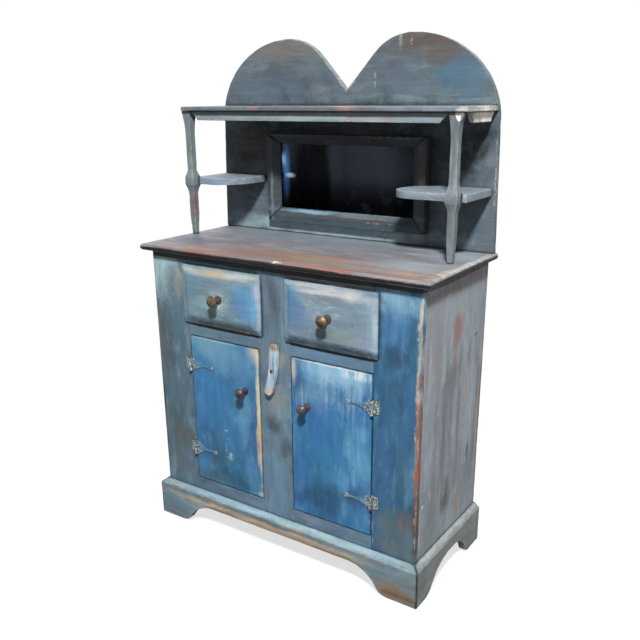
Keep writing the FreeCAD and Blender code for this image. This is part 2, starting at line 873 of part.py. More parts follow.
# ---------------------------------------------------------------------------------------------
# Turn button: a bowed bar that turns on one screw in the centre stile
# ---------------------------------------------------------------------------------------------
def make_turn_button():
    """Makes the bar at rest, turned upright so that both doors are free."""
    width = size.button_width / 2
    bow = size.button_bow
    end = size.button_length / 2 - width
    bend = (end * end + bow * bow) / (2 * bow)
    lean = math.asin(end / bend)
    across = (width * math.sin(lean), width * math.cos(lean))
    middle = (end, bend * math.cos(lean) - bend)
    above = (middle[0] + across[0], middle[1] + across[1])
    below = (middle[0] - across[0], middle[1] - across[1])
    tip = (middle[0] + across[1], middle[1] - across[0])
    body = new_body("turn_button")
    outline = new_sketch(body, "turn_button_outline", "XZ_Plane")
    draw_outline(
        outline,
        (-above[0], above[1]),
        [
            [(0, width), above],
            [tip, below],
            [(0, -width), (-below[0], below[1])],
            [(-tip[0], tip[1]), (-above[0], above[1])],
        ],
    )
    base = pad(body, outline, "button_board", reverse=False)

    def on_face(point):
        return near(point.y, -size.button_board)

    round_edges(body, base, "button_edge_round", on_face)
    hole = new_sketch(body, "turn_button_hole", "XZ_Plane")
    draw_circle(hole, (0, 0), size.button_screw_width / 2 + size.screw_clearance)
    pocket(body, hole)
    body.Placement.Rotation = FreeCAD.Rotation(FreeCAD.Vector(0, 1, 0), 90)
    body.setExpression("Placement.Rotation.Angle", formula("90 + button_tilt"))
    place(body, "0", "-door_proud - button_clearance", "button_height")
    piece(body, "turn_button")


def make_button_screw():
    """Turns the round-headed screw and, on it, the washer behind the bar."""
    radius = size.button_screw_width / 2
    head = size.button_screw_head / 2
    front = size.door_proud + size.button_clearance + size.button_board + size.button_clearance
    body = new_body("button_screw")
    half = new_sketch(body, "button_screw_profile", "XY_Plane")
    depth = size.button_screw_depth
    rise = size.button_screw_rise
    draw_outline(
        half,
        (0, depth),
        [
            [(radius / 2, depth)],
            [(radius, depth - radius)],
            [(radius, -front)],
            [(head, -front)],
            [(head, -front - rise / 2)],
            [(radius, -front - rise)],
            [(0, -front - rise)],
            [(0, depth)],
        ],
    )
    turned = body.newObject("PartDesign::Revolution", "button_screw_turned")
    turned.Profile = half
    turned.ReferenceAxis = (half, ["V_Axis"])
    turned.Angle = 360
    place(body, "0", "0", "button_height")
    piece(body, "button_screw")
    washer = new_body("button_washer")
    ring = new_sketch(washer, "button_washer_ring", "XZ_Plane")
    draw_circle(ring, (0, 0), size.washer_width / 2)
    draw_circle(ring, (0, 0), radius + size.screw_clearance)
    pad(washer, ring, "door_proud", reverse=False)
    place(washer, "0", "0", "button_height")
    piece(washer, "button_washer")


# ---------------------------------------------------------------------------------------------
# Upper back board: one wide board sawn to two arches that meet in a notch
# ---------------------------------------------------------------------------------------------
def arch_steps():
    """Gives the right-hand half of the board's top edge, from the side up and in to the notch.

    The outer flank is a quarter of an ellipse, drawn as four arcs through points that lie on it.
    The inner flank is a straight slope with one arc that is level at the peak.
    """
    half = size.back_width / 2
    across = half - size.arch_peak
    rise = size.arch_top - size.arch_spring
    quarter = [
        (
            size.arch_peak + across * math.cos(math.radians(11.25 * step)),
            size.arch_spring + rise * math.sin(math.radians(11.25 * step)),
        )
        for step in range(9)
    ]
    steps = [[quarter[number + 1], quarter[number + 2]] for number in range(0, 8, 2)]
    slope = math.radians(size.notch_slope)
    crest = (size.arch_top - size.notch_height) / math.tan(slope)
    tangent = size.arch_peak - crest
    radius = tangent / math.tan(slope / 2)
    foot = (crest - tangent * math.cos(slope), size.arch_top - tangent * math.sin(slope))
    turned = slope / 2
    middle = (
        size.arch_peak - radius * math.sin(turned),
        size.arch_top - radius * (1 - math.cos(turned)),
    )
    return [*steps, [middle, foot], [(0, size.notch_height)]]


def mirrored_backwards(start, steps):
    """Mirrors a run of steps across the middle line and runs it the other way."""
    points = [start, *[point for step in steps for point in step]]
    flipped = [(-x, z) for x, z in reversed(points)]
    result = []
    place_in_run = 0
    for step in reversed(steps):
        result.append(flipped[place_in_run + 1 : place_in_run + 1 + len(step)])
        place_in_run += len(step)
    return result


def make_back_board():
    """Makes the double-arched back board, which stands on the worktop and widens a little to its foot."""
    half = size.back_width / 2
    foot = half + size.back_splay
    body = new_body("back_board")
    outline = new_sketch(body, "back_board_outline", "XZ_Plane")
    right = arch_steps()
    left = mirrored_backwards((half, size.arch_spring), right)
    steps = [[(foot, 0)], [(half, size.arch_spring)], *right, *left, [(-foot, 0)]]
    draw_outline(outline, (-foot, 0), steps)
    pad(body, outline, "back_board", reverse=False)
    place(body, "0", "case_depth - back_set", WORKTOP)
    piece(body, "back_board")


WORKTOP = "(case_top + worktop_board)"
BACK_FACE = "(case_depth - back_set - back_board)"
SHELF_FRONT = "(case_depth - back_set - back_board - top_shelf_depth)"


def shelf_end(inset):
    """Gives how far from the middle a place lies that is counted in from the top shelf's end."""
    return size.top_shelf_width / 2 - inset


def back_face():
    """Gives where the back board's front face stands."""
    return size.case_depth - size.back_set - size.back_board


def shelf_front():
    """Gives where the top shelf's front edge stands."""
    return back_face() - size.top_shelf_depth


def make_top_shelf():
    """Makes the top shelf with its front edge eased."""
    half = size.top_shelf_width / 2
    body = new_body("top_shelf")
    outline = new_sketch(body, "top_shelf_outline", "XY_Plane")
    draw_rectangle(outline, (-half, 0), (half, size.top_shelf_depth))
    base = pad(body, outline, "top_shelf_board", reverse=False)

    def on_front(point):
        return near(point.y, 0)

    names = edges_where(base.Shape, on_front)
    level = [name for name in names if near(base.Shape.getElement(name).BoundBox.ZLength, 0)]
    nose = body.newObject("PartDesign::Fillet", "top_shelf_round")
    nose.Base = (base, level)
    nose.setExpression("Radius", formula("top_shelf_round"))
    place(body, "0", SHELF_FRONT, f"{WORKTOP} + top_shelf_height - top_shelf_board")
    piece(body, "top_shelf")


def make_aprons():
    """Makes the three narrow boards under the top shelf, each with both ends cut on the slant."""
    height = size.apron_height
    cut = size.apron_end_cut
    under = f"{WORKTOP} + top_shelf_height - top_shelf_board"
    left = size.post_top / 2 - shelf_end(size.post_left_inset)
    right = shelf_end(size.post_right_inset) - size.post_top / 2
    front = new_body("shelf_apron_front")
    outline = new_sketch(front, "shelf_apron_front_outline", "XZ_Plane")
    steps = [[(right, 0)], [(right - cut, -height)], [(left + cut, -height)], [(left, 0)]]
    draw_outline(outline, (left, 0), steps)
    pad(front, outline, "apron_board", reverse=True)
    place(front, "0", f"{SHELF_FRONT} + apron_setback", under)
    piece(front, "shelf_apron_front")
    near_end = shelf_front() + size.post_setback + size.post_blank
    far_end = back_face()
    for label, way in (("shelf_apron_left", -1), ("shelf_apron_right", 1)):
        body = new_body(label)
        outline = new_sketch(body, label + "_outline", "YZ_Plane")
        steps = [[(far_end, 0)], [(far_end - cut, -height)], [(near_end + cut, -height)], [(near_end, 0)]]
        draw_outline(outline, (near_end, 0), steps)
        pad(body, outline, "apron_board", reverse=way > 0)
        place(body, f"{way} * (top_shelf_width / 2 - side_apron_inset)", "0", under)
        piece(body, label)


# ---------------------------------------------------------------------------------------------
# Posts, sawn to the same outline from the front and from the side
# ---------------------------------------------------------------------------------------------
# How full the posts' curves are: the ends of the swelling's crown, its sides and the flared head.
SWELL_CROWN = 0.95
SWELL_BULGE = 0.3
SWELL_SHOULDER = 0.55
HEAD_SHOULDER = 0.42


def post_outline(top):
    """Gives one side of a post's outline from the foot up: taper, waist, swelling, waist, flared head."""
    waist = size.post_waist / 2
    swell = size.post_blank / 2
    head = size.post_top / 2
    low = size.swell_height - size.swell_flat / 2
    high = size.swell_height + size.swell_flat / 2
    bulge = waist + (swell - waist) * SWELL_BULGE
    edge = swell * SWELL_CROWN
    shoulder = size.swell_taper * SWELL_SHOULDER
    flare = (waist + (head - waist) * SWELL_BULGE, top - size.post_flare * HEAD_SHOULDER)
    return [
        [(waist, size.post_foot_taper)],
        [(waist, low - size.swell_taper)],
        [(bulge, low - shoulder), (edge, low)],
        [(swell, size.swell_height), (edge, high)],
        [(bulge, high + shoulder), (waist, high + size.swell_taper)],
        [(waist, top - size.post_flare)],
        [flare, (head, top)],
    ]


def make_post(label, centre):
    """Makes one post as the part that its two sawn outlines share."""
    top = size.top_shelf_height - size.top_shelf_board
    start = (size.post_foot / 2, 0)
    right = post_outline(top)
    left = mirrored_backwards(start, right)
    outline = [*right, [(-size.post_top / 2, top)], *left, [start]]
    profiles = []
    for view, plane in (("front", "XZ_Plane"), ("side", "YZ_Plane")):
        body = new_body(f"{label}_{view}")
        sketch = new_sketch(body, f"{label}_{view}_outline", plane)
        draw_outline(sketch, start, outline)
        feature = pad(body, sketch, "2 * post_blank", reverse=False)
        feature.Midplane = True
        profiles.append(body)
    post = doc.addObject("Part::Common", label)
    post.Base, post.Tool = profiles
    place(post, centre, f"{SHELF_FRONT} + post_setback + post_blank / 2", WORKTOP)
    piece(post, label)


# ---------------------------------------------------------------------------------------------
# Corner shelves: let round the posts' swellings, with their free ends rounded
# ---------------------------------------------------------------------------------------------
def make_corner_shelf(label, way, reach, front_round, rear_round, centre):
    """Makes one corner shelf, with the corner notched round the post."""
    front = shelf_front() + size.corner_shelf_setback
    back = back_face()
    end = shelf_end(size.corner_shelf_inset)
    free = end - reach
    lean = math.sqrt(0.5)
    body = new_body(label)
    outline = new_sketch(body, label + "_outline", "XY_Plane")
    front_middle = (free + front_round * (1 - lean), front + front_round * (1 - lean))
    rear_middle = (free + rear_round * (1 - lean), back - rear_round * (1 - lean))
    flat_end = [] if near(front + front_round, back - rear_round) else [[(free, back - rear_round)]]
    steps = [
        [(free + front_round, front)],
        [front_middle, (free, front + front_round)],
        *flat_end,
        [rear_middle, (free + rear_round, back)],
        [(end, back)],
        [(end, front)],
    ]
    mirrored = [[(way * x, y) for x, y in step] for step in steps]
    draw_outline(outline, (way * end, front), mirrored)
    pad(body, outline, "corner_shelf_board", reverse=True)
    notch = new_sketch(body, label + "_notch", "XY_Plane")
    half = size.post_blank / 2 + size.notch_clearance
    post_back = shelf_front() + size.post_setback + size.post_blank + size.notch_clearance
    inner = centre - half
    outer = centre + half
    draw_rectangle(notch, (way * inner, front - 1), (way * outer, post_back))
    pocket(body, notch)
    place(body, "0", "0", f"{WORKTOP} + corner_shelf_height")
    piece(body, label)


# ---------------------------------------------------------------------------------------------
# Mirror: four mitred rails with an inner bevel, the glass and its backing
# ---------------------------------------------------------------------------------------------
def make_mirror():
    """Makes the mirror on the face of the back board."""
    half = shelf_end(size.mirror_inset)
    low = size.mirror_sill
    high = size.mirror_head
    inside = half - size.mirror_rail_width
    lower = low + size.mirror_rail_width
    upper = high - size.mirror_top_rail
    corners = {
        "mirror_rail_bottom": ((-half, low), (half, low), (inside, lower), (-inside, lower)),
        "mirror_rail_top": ((-half, high), (-inside, upper), (inside, upper), (half, high)),
        "mirror_rail_left": ((-half, low), (-inside, lower), (-inside, upper), (-half, high)),
        "mirror_rail_right": ((half, low), (half, high), (inside, upper), (inside, lower)),
    }
    for label, outline in corners.items():
        make_mirror_rail(label, outline, inside, lower, upper)
    edge = size.mirror_rebate - size.glass_clearance
    pane_width = f"top_shelf_width - 2 * mirror_inset - 2 * mirror_rail_width + 2 * {edge}"
    pane_height = f"mirror_head - mirror_sill - mirror_rail_width - mirror_top_rail + 2 * {edge}"
    pane_low = f"{WORKTOP} + mirror_sill + mirror_rail_width - {edge}"
    left = f"mirror_inset - top_shelf_width / 2 + mirror_rail_width - {edge}"
    backing_front = f"{BACK_FACE} - glass_backing"
    glass_front = f"{backing_front} - glass_thickness"
    board("mirror_glass", (left, glass_front, pane_low), (pane_width, "glass_thickness", pane_height))
    board("mirror_backing", (left, backing_front, pane_low), (pane_width, "glass_backing", pane_height))


def make_mirror_rail(label, outline, inside, lower, upper):
    """Makes one rail: a mitred board, its inner edge bevelled in front and rebated behind."""
    body = new_body(label)
    sketch = new_sketch(body, label + "_outline", "XZ_Plane")
    draw_outline(sketch, outline[0], [[point] for point in (*outline[1:], outline[0])])
    base = pad(body, sketch, "mirror_rail_depth", reverse=False)

    def on_inner_front(point):
        beside = near(abs(point.x), inside) and (near(point.z, lower) or near(point.z, upper))
        return beside and near(point.y, -size.mirror_rail_depth)

    bevel_edges(body, base, "mirror_bevel_width", "mirror_bevel_depth", on_inner_front, flip=True)
    rebate = new_sketch(body, label + "_rebate", "XZ_Plane")
    reach = size.mirror_rebate
    draw_rectangle(rebate, (-inside - reach, lower - reach), (inside + reach, upper + reach))
    pocket(body, rebate, "glass_thickness + glass_backing", reverse=True)
    place(body, "0", BACK_FACE, WORKTOP)
    piece(body, label)


# ---------------------------------------------------------------------------------------------
# The whole cabinet
# ---------------------------------------------------------------------------------------------
def make_doors():
    """Makes both doors with all that hangs on them."""
    for side, way in (("left", -1), ("right", 1)):
        make_door(f"door_{side}", way)
        make_battens(f"door_{side}_battens", way)
        x = f"{way} * (centre_stile_width / 2 + door_gap + door_knob_inset)"
        lengths = ("door_knob_length", "door_knob_head")
        make_knob(f"door_{side}_knob", *lengths, x, "-door_proud", "door_knob_height")
        make_hinges(side, way)


def make_drawers():
    """Makes both drawers."""
    for side, way in (("left", -1), ("right", 1)):
        name = f"drawer_{side}"
        make_drawer_front(f"{name}_front", way)
        make_drawer_box(name, way)
        lengths = ("drawer_knob_length", "drawer_knob_head")
        height = "(drawer_sill + drawer_head) / 2"
        make_knob(f"{name}_knob", *lengths, opening_middle(way), "-drawer_proud", height)


make_sides()
make_front_frame()
make_inner_boards()
make_cleats()
make_worktop()
make_plinth_front()
make_plinth_side("plinth_left", -1)
make_plinth_side("plinth_right", 1)
make_corner_blocks()
make_doors()
make_drawers()
make_turn_button()
make_button_screw()
make_back_board()
make_top_shelf()
make_aprons()
make_post("post_left", "post_left_inset - top_shelf_width / 2")
make_post("post_right", "top_shelf_width / 2 - post_right_inset")
make_corner_shelf(
    "corner_shelf_left",
    -1,
    size.left_shelf_reach,
    size.left_shelf_front_round,
    size.left_shelf_rear_round,
    shelf_end(size.post_left_inset),
)
make_corner_shelf(
    "corner_shelf_right",
    1,
    size.right_shelf_reach,
    size.right_shelf_front_round,
    size.right_shelf_rear_round,
    shelf_end(size.post_right_inset),
)
make_mirror()
doc.recompute()

failed = [item.Name for item in doc.Objects if "Invalid" in item.State or "Error" in item.State]
if failed:
    raise RuntimeError(f"failed: {failed}")
for item in pieces:
    if item.Shape.isNull() or not item.Shape.isValid():
        raise RuntimeError(f"bad shape: {item.Label}")

os.makedirs("parts", exist_ok=True)
for item in pieces:
    item.Shape.exportStep(f"parts/{item.Label}.step")
    box = item.Shape.BoundBox
    solids = len(item.Shape.Solids)
    print(f"{item.Label}: {solids} solid(s), {box.XLength:.1f} x {box.YLength:.1f} x {box.ZLength:.1f} mm")
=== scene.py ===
# %% [markdown]
# # An old painted cabinet, dressed cell by cell
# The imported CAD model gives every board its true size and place. This script keeps those boards and
# gives them what a drawing lacks: softened and knocked edges, brushed paint that has worn through to
# the wood, tarnished knobs and hinges, and the light to see them by.

import math
import random

import bmesh
import bpy
from mathutils import Matrix, Vector, noise
from mathutils.bvhtree import BVHTree
from mathutils.kdtree import KDTree


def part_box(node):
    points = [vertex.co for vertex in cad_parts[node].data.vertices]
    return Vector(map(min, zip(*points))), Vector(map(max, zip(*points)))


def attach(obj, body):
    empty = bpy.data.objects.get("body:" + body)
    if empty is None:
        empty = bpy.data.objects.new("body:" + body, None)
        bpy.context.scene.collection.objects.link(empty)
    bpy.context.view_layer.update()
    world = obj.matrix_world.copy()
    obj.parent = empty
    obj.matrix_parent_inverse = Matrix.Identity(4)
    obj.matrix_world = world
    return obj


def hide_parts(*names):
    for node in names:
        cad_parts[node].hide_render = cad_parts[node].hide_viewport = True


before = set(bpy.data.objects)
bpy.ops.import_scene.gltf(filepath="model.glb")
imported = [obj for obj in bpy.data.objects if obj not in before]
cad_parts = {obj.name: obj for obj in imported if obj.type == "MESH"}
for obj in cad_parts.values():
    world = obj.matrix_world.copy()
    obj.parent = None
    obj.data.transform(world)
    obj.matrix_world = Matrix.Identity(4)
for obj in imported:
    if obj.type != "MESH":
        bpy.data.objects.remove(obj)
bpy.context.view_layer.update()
MM = 0.001

# %% [markdown]
# ## Camera and light
# The camera stands to the right of the cabinet and looks down at its front and right side. A lens
# of about 42 mm gives the gentle narrowing of the far side. One small lamp, high in front and to
# the right, casts the clear shadows of the shelf, the worktop and the knobs. A single lamp would
# leave the other sides black, so wide and weaker ones at the front, the sides and behind, and a
# pale sky, lift the rest. Together they are as bright as makes a colour show about as it is written.

# %% Camera
def into_scene(name, data):
    """Makes an object from its data and puts it in the scene."""
    thing = bpy.data.objects.new(name, data)
    bpy.context.scene.collection.objects.link(thing)
    return thing


EYE = Vector((1.1612, -1.6672, 1.2486))
TURN = math.radians(34.06)
LOOK_DOWN = math.radians(18.46)
TILT = math.radians(-0.45)
LENS = 42.49
RAISE = 0.0469

camera_data = bpy.data.cameras.new("camera")
camera_data.lens = LENS
camera_data.sensor_width = 36.0
camera_data.shift_y = RAISE
camera_data.clip_end = 50.0
camera = into_scene("camera", camera_data)
camera.matrix_world = (
    Matrix.Translation(EYE)
    @ Matrix.Rotation(TURN, 4, "Z")
    @ Matrix.Rotation(math.radians(90) - LOOK_DOWN, 4, "X")
    @ Matrix.Rotation(TILT, 4, "Z")
)
bpy.context.scene.camera = camera
bpy.context.scene.view_settings.view_transform = "Standard"
print("camera", [round(value, 3) for value in camera.matrix_world.translation])

# %% Lamps
MIDDLE = Vector((0.0, 0.0, 0.75))
for name, place, width, power in (
    ("key_lamp", (1.60, -2.28, 3.64), 0.4, 254.0),
    ("front_lamp", (-2.6, -2.8, 1.6), 2.4, 4.0),
    ("side_lamp", (3.6, 0.4, 1.6), 2.4, 15.0),
    ("back_lamp", (-0.9, 3.6, 2.4), 2.6, 90.0),
    ("left_lamp", (-3.6, 1.6, 1.8), 2.4, 30.0),
):
    lamp_data = bpy.data.lights.new(name, "AREA")
    lamp_data.shape = "SQUARE"
    lamp_data.size = width
    lamp_data.energy = power
    lamp = into_scene(name, lamp_data)
    lamp.location = place
    lamp.rotation_mode = "QUATERNION"
    lamp.rotation_quaternion = (MIDDLE - Vector(place)).to_track_quat("-Z", "Y")
print("lamps", [light.name for light in bpy.data.lights])


# %% [markdown]
# ## Nodes in short lines
# A material is a small machine of linked nodes. They could be placed one by one in the editor, but
# here many finishes share the same few pieces, so each piece has a helper: a node with its inputs,
# a cloud of noise that can be drawn out along a board, a soft step that turns noise into patches,
# a mix of two colours, and a raised surface. Colours are written as the usual 0 to 255 steps and
# turned into the linear values that a shader works in.

# %% Node helpers
def put(tree, kind, inputs=None, **settings):
    """Adds one node, sets its options, and links or fills its inputs."""
    node = tree.nodes.new(f"ShaderNode{kind}")
    for option, value in settings.items():
        setattr(node, option, value)
    for socket, value in (inputs or {}).items():
        if isinstance(value, bpy.types.NodeSocket):
            tree.links.new(value, node.inputs[socket])
        else:
            node.inputs[socket].default_value = value
    return node


def tone(red, green, blue):
    """Turns a colour of 0 to 255 steps into linear values."""
    linear = []
    for step in (red, green, blue):
        share = step / 255
        linear.append(share / 12.92 if share < 0.04045 else ((share + 0.055) / 1.055) ** 2.4)
    return (*linear, 1.0)


def cloud(tree, place, scale, stretch=(1, 1, 1), detail=4.0, roughness=0.55, seed=0.0):
    """Gives noise from 0 to 1. A large stretch makes it narrow in that direction."""
    shift = (seed, seed * 0.7, seed * 1.3)
    spot = put(tree, "Mapping", {"Vector": place, "Scale": stretch, "Location": shift})
    inputs = {"Vector": spot.outputs[0], "Scale": scale, "Detail": detail, "Roughness": roughness}
    return put(tree, "TexNoise", inputs).outputs[0]


def band(tree, value, low, high, start=0.0, end=1.0):
    """Turns a value into a soft step from start, at low, to end, at high."""
    inputs = {"Value": value, "From Min": low, "From Max": high, "To Min": start, "To Max": end}
    return put(tree, "MapRange", inputs, interpolation_type="SMOOTHSTEP").outputs[0]


def blend(tree, first, second, share):
    """Mixes two colours."""
    return put(tree, "Mix", {0: share, 6: first, 7: second}, data_type="RGBA").outputs[2]


def sum_of(tree, first, second, way="ADD"):
    """Joins two numbers by one sum."""
    return put(tree, "Math", {0: first, 1: second}, operation=way).outputs[0]


def raise_surface(tree, shader, height, strength, depth=0.0008):
    """Shades the surface as if a height raised it, by a depth in metres."""
    inputs = {"Height": height, "Strength": strength, "Distance": depth}
    tree.links.new(put(tree, "Bump", inputs).outputs[0], shader.inputs["Normal"])


def blank_material(name):
    """Makes a material and gives it, its tree, its shader and the place of each point."""
    material = bpy.data.materials.new(name)
    material.use_nodes = True
    tree = material.node_tree
    place = put(tree, "TexCoord").outputs["Object"]
    return material, tree, tree.nodes["Principled BSDF"], place


# %% [markdown]
# ## Sky and floor
# The sky lights the cabinet gently but looks plain white, to the camera and in polished metal. A
# sky that really is bright white would need no such switch, but it would wash out the shadows. The
# floor is pale and takes the cabinet's shadow close by. Further out it gives the camera plain white,
# so that it has no horizon.

# %% Sky
SKY_LIGHT = 0.09
WHITE = (1, 1, 1, 1)
world = bpy.data.worlds.new("sky")
bpy.context.scene.world = world
world.use_nodes = True
sky = world.node_tree
sky.nodes.clear()
ray = put(sky, "LightPath")
camera_or_gloss = sum_of(sky, ray.outputs["Is Camera Ray"], ray.outputs["Is Glossy Ray"], "MAXIMUM")
seen = sum_of(sky, camera_or_gloss, ray.outputs["Is Transmission Ray"], "MAXIMUM")
sky_strength = band(sky, seen, 0.0, 1.0, SKY_LIGHT, 1.0)
white_sky = put(sky, "Background", {"Color": WHITE, "Strength": sky_strength})
put(sky, "OutputWorld", {"Surface": white_sky.outputs[0]})

# %% Floor
FLOOR_HALF = 8.0
FLOOR_DROP = 0.0005
FLOOR_COLOUR = (0.30, 0.30, 0.30, 1.0)
FLOOR_GLOW = 0.70
WHITE_FROM = 0.7
ALL_WHITE = 1.7
floor_mesh = bpy.data.meshes.new("floor")
floor_shape = bmesh.new()
bmesh.ops.create_grid(floor_shape, x_segments=1, y_segments=1, size=FLOOR_HALF)
floor_shape.to_mesh(floor_mesh)
floor_shape.free()
floor = into_scene("floor", floor_mesh)
floor.location.z = -FLOOR_DROP
pale, floor_tree, floor_shader, floor_place = blank_material("pale_floor")
floor_shader.inputs["Base Color"].default_value = FLOOR_COLOUR
floor_shader.inputs["Roughness"].default_value = 1.0
floor_shader.inputs["Specular IOR Level"].default_value = 0.0
floor_shader.inputs["Emission Color"].default_value = WHITE
by_camera = put(floor_tree, "LightPath").outputs["Is Camera Ray"]
floor_glow = band(floor_tree, by_camera, 0.0, 1.0, 0.0, FLOOR_GLOW)
floor_tree.links.new(floor_glow, floor_shader.inputs["Emission Strength"])
distance = put(floor_tree, "VectorMath", {0: floor_place}, operation="LENGTH").outputs["Value"]
far = sum_of(floor_tree, band(floor_tree, distance, WHITE_FROM, ALL_WHITE), by_camera, "MULTIPLY")
white_glow = put(floor_tree, "Emission", {"Color": WHITE, "Strength": 1.0})
melt = put(floor_tree, "MixShader", {0: far, 1: floor_shader.outputs[0], 2: white_glow.outputs[0]})
floor_tree.links.new(melt.outputs[0], floor_tree.nodes["Material Output"].inputs["Surface"])
floor.data.materials.append(pale)


# %% [markdown]
# ## Old milk paint
# The cabinet was brushed by hand, in thin coats of different blues and greys over the years. Such
# paint could be a picture wrapped round each board. Nodes that work from the place of each point
# need no wrapping, so one function makes every paint: three tones in soft clouds, bristle marks
# along the board, and then marks listed at their places. Each mark is an oval with a ragged
# rim: a wash of another tone, a dry-brushed streak, a scatter of chips, or paint rubbed off to the
# wood. Some washes are painted light, and some painted shade. Only a patch has a calm rim, for
# painted shadows, for dark edges that are part stain and part painted shade, and for a painted
# highlight. Near a sharp edge, which each board stores as a distance, the paint is worn down to
# its undercoat and then to the pine.

# %% Old pine, bare or under the paint
PINE_DARK = (94, 76, 60)
PINE_LIGHT = (170, 144, 112)
BARE_DARK = (104, 84, 64)
BARE_LIGHT = (158, 132, 100)
STAIN = (62, 54, 46)
ALONG = {"X": (1, 12, 12), "Y": (12, 1, 12), "Z": (12, 12, 1)}
GRAIN = {"X": (1, 34, 34), "Y": (34, 1, 34), "Z": (34, 34, 1)}
SOFT_ALONG = {"X": (0.6, 1.6, 1.6), "Y": (1.6, 0.6, 1.6), "Z": (1.6, 1.6, 0.6)}


def pine_colour(tree, place, along, dark=PINE_DARK, light=PINE_LIGHT, seed=0.0):
    """Gives the colour of old pine, its grain drawn out along the board."""
    grain = cloud(tree, place, 4.0, GRAIN[along], detail=5.0, roughness=0.6, seed=seed + 11)
    stain = cloud(tree, place, 7.0, SOFT_ALONG[along], seed=seed + 17)
    wood = blend(tree, tone(*dark), tone(*light), band(tree, grain, 0.24, 0.76, 0.0, 1.0))
    return blend(tree, wood, tone(*dark), band(tree, stain, 0.55, 0.75, 0.0, 0.5)), grain


def pine(name, along, seed=0.0, plank=0.0):
    """Makes plain old pine, for what was never painted. Planks of one width in metres differ in tone."""
    material, tree, shader, place = blank_material(name)
    colour, grain = pine_colour(tree, place, along, BARE_DARK, BARE_LIGHT, seed)
    if plank:
        across = put(tree, "SeparateXYZ", {0: place}).outputs[0]
        planks = sum_of(tree, across, plank, "DIVIDE")
        number = put(tree, "Math", {0: planks}, operation="FLOOR").outputs[0]
        pick = put(tree, "TexWhiteNoise", {"W": number}, noise_dimensions="1D").outputs[0]
        value = band(tree, pick, 0, 1, 0.72, 1.08)
        colour = put(tree, "HueSaturation", {"Color": colour, "Value": value}).outputs[0]
    blots = cloud(tree, place, 4.0, SOFT_ALONG[along], 6.0, 0.65, seed + 29)
    colour = blend(tree, colour, tone(*STAIN), band(tree, blots, 0.5, 0.75, 0.0, 0.6))
    fine = cloud(tree, place, 90.0, ALONG[along], seed=seed)
    tree.links.new(colour, shader.inputs["Base Color"])
    tree.links.new(band(tree, grain, 0.3, 0.7, 0.85, 0.7), shader.inputs["Roughness"])
    raise_surface(tree, shader, sum_of(tree, grain, fine), 0.35, depth=0.0006)
    return material


# %% Marks on the paint
# A dark tone for specks of dirt, and for the dirt and painted shade beside the next piece.
DIRT_AND_SHADE_TONE = (38, 36, 34)
UNDERCOAT = (164, 168, 160)
RIMS = {
    "wash": (0.25, 1.45),
    "dry": (0.4, 1.4),
    "chips": (0.5, 1.35),
    "rubbed": (0.5, 1.35),
    # The calm rim serves painted shadows, dark edges of stain and painted shade, and a painted highlight.
    "patch": (0.75, 1.1),
}


def fill_in(numbers, way, third):
    """Gives all three numbers of a mark that was written with the two across its face."""
    if len(numbers) == 3:
        return numbers
    filled = list(numbers)
    filled.insert("XYZ".index(way), third)
    return filled


def mark_mask(tree, place, unrest, centre, radius, rim):
    """Gives 1 inside an oval given in millimetres and 0 outside. Its rim is as ragged as it is wide."""
    centre = tuple(value * MM for value in centre)
    radius = tuple(value * MM for value in radius)
    away = put(tree, "VectorMath", {0: place, 1: centre}, operation="SUBTRACT").outputs[0]
    shares = put(tree, "VectorMath", {0: away, 1: radius}, operation="DIVIDE").outputs[0]
    bent = put(tree, "VectorMath", {0: shares, 1: unrest}, operation="ADD").outputs[0]
    length = put(tree, "VectorMath", {0: bent}, operation="LENGTH").outputs["Value"]
    return band(tree, length, *rim, 1.0, 0.0)


def restless(tree, place, scale, amount):
    """Gives a small vector that changes its way from place to place."""
    inputs = {"Vector": place, "Scale": scale, "Detail": 5.0, "Roughness": 0.65}
    swirl = put(tree, "TexNoise", inputs).outputs[1]
    centred = put(tree, "VectorMath", {0: swirl, 1: (0.5, 0.5, 0.5)}, operation="SUBTRACT").outputs[0]
    return put(tree, "VectorMath", {0: centred, "Scale": amount}, operation="SCALE").outputs[0]


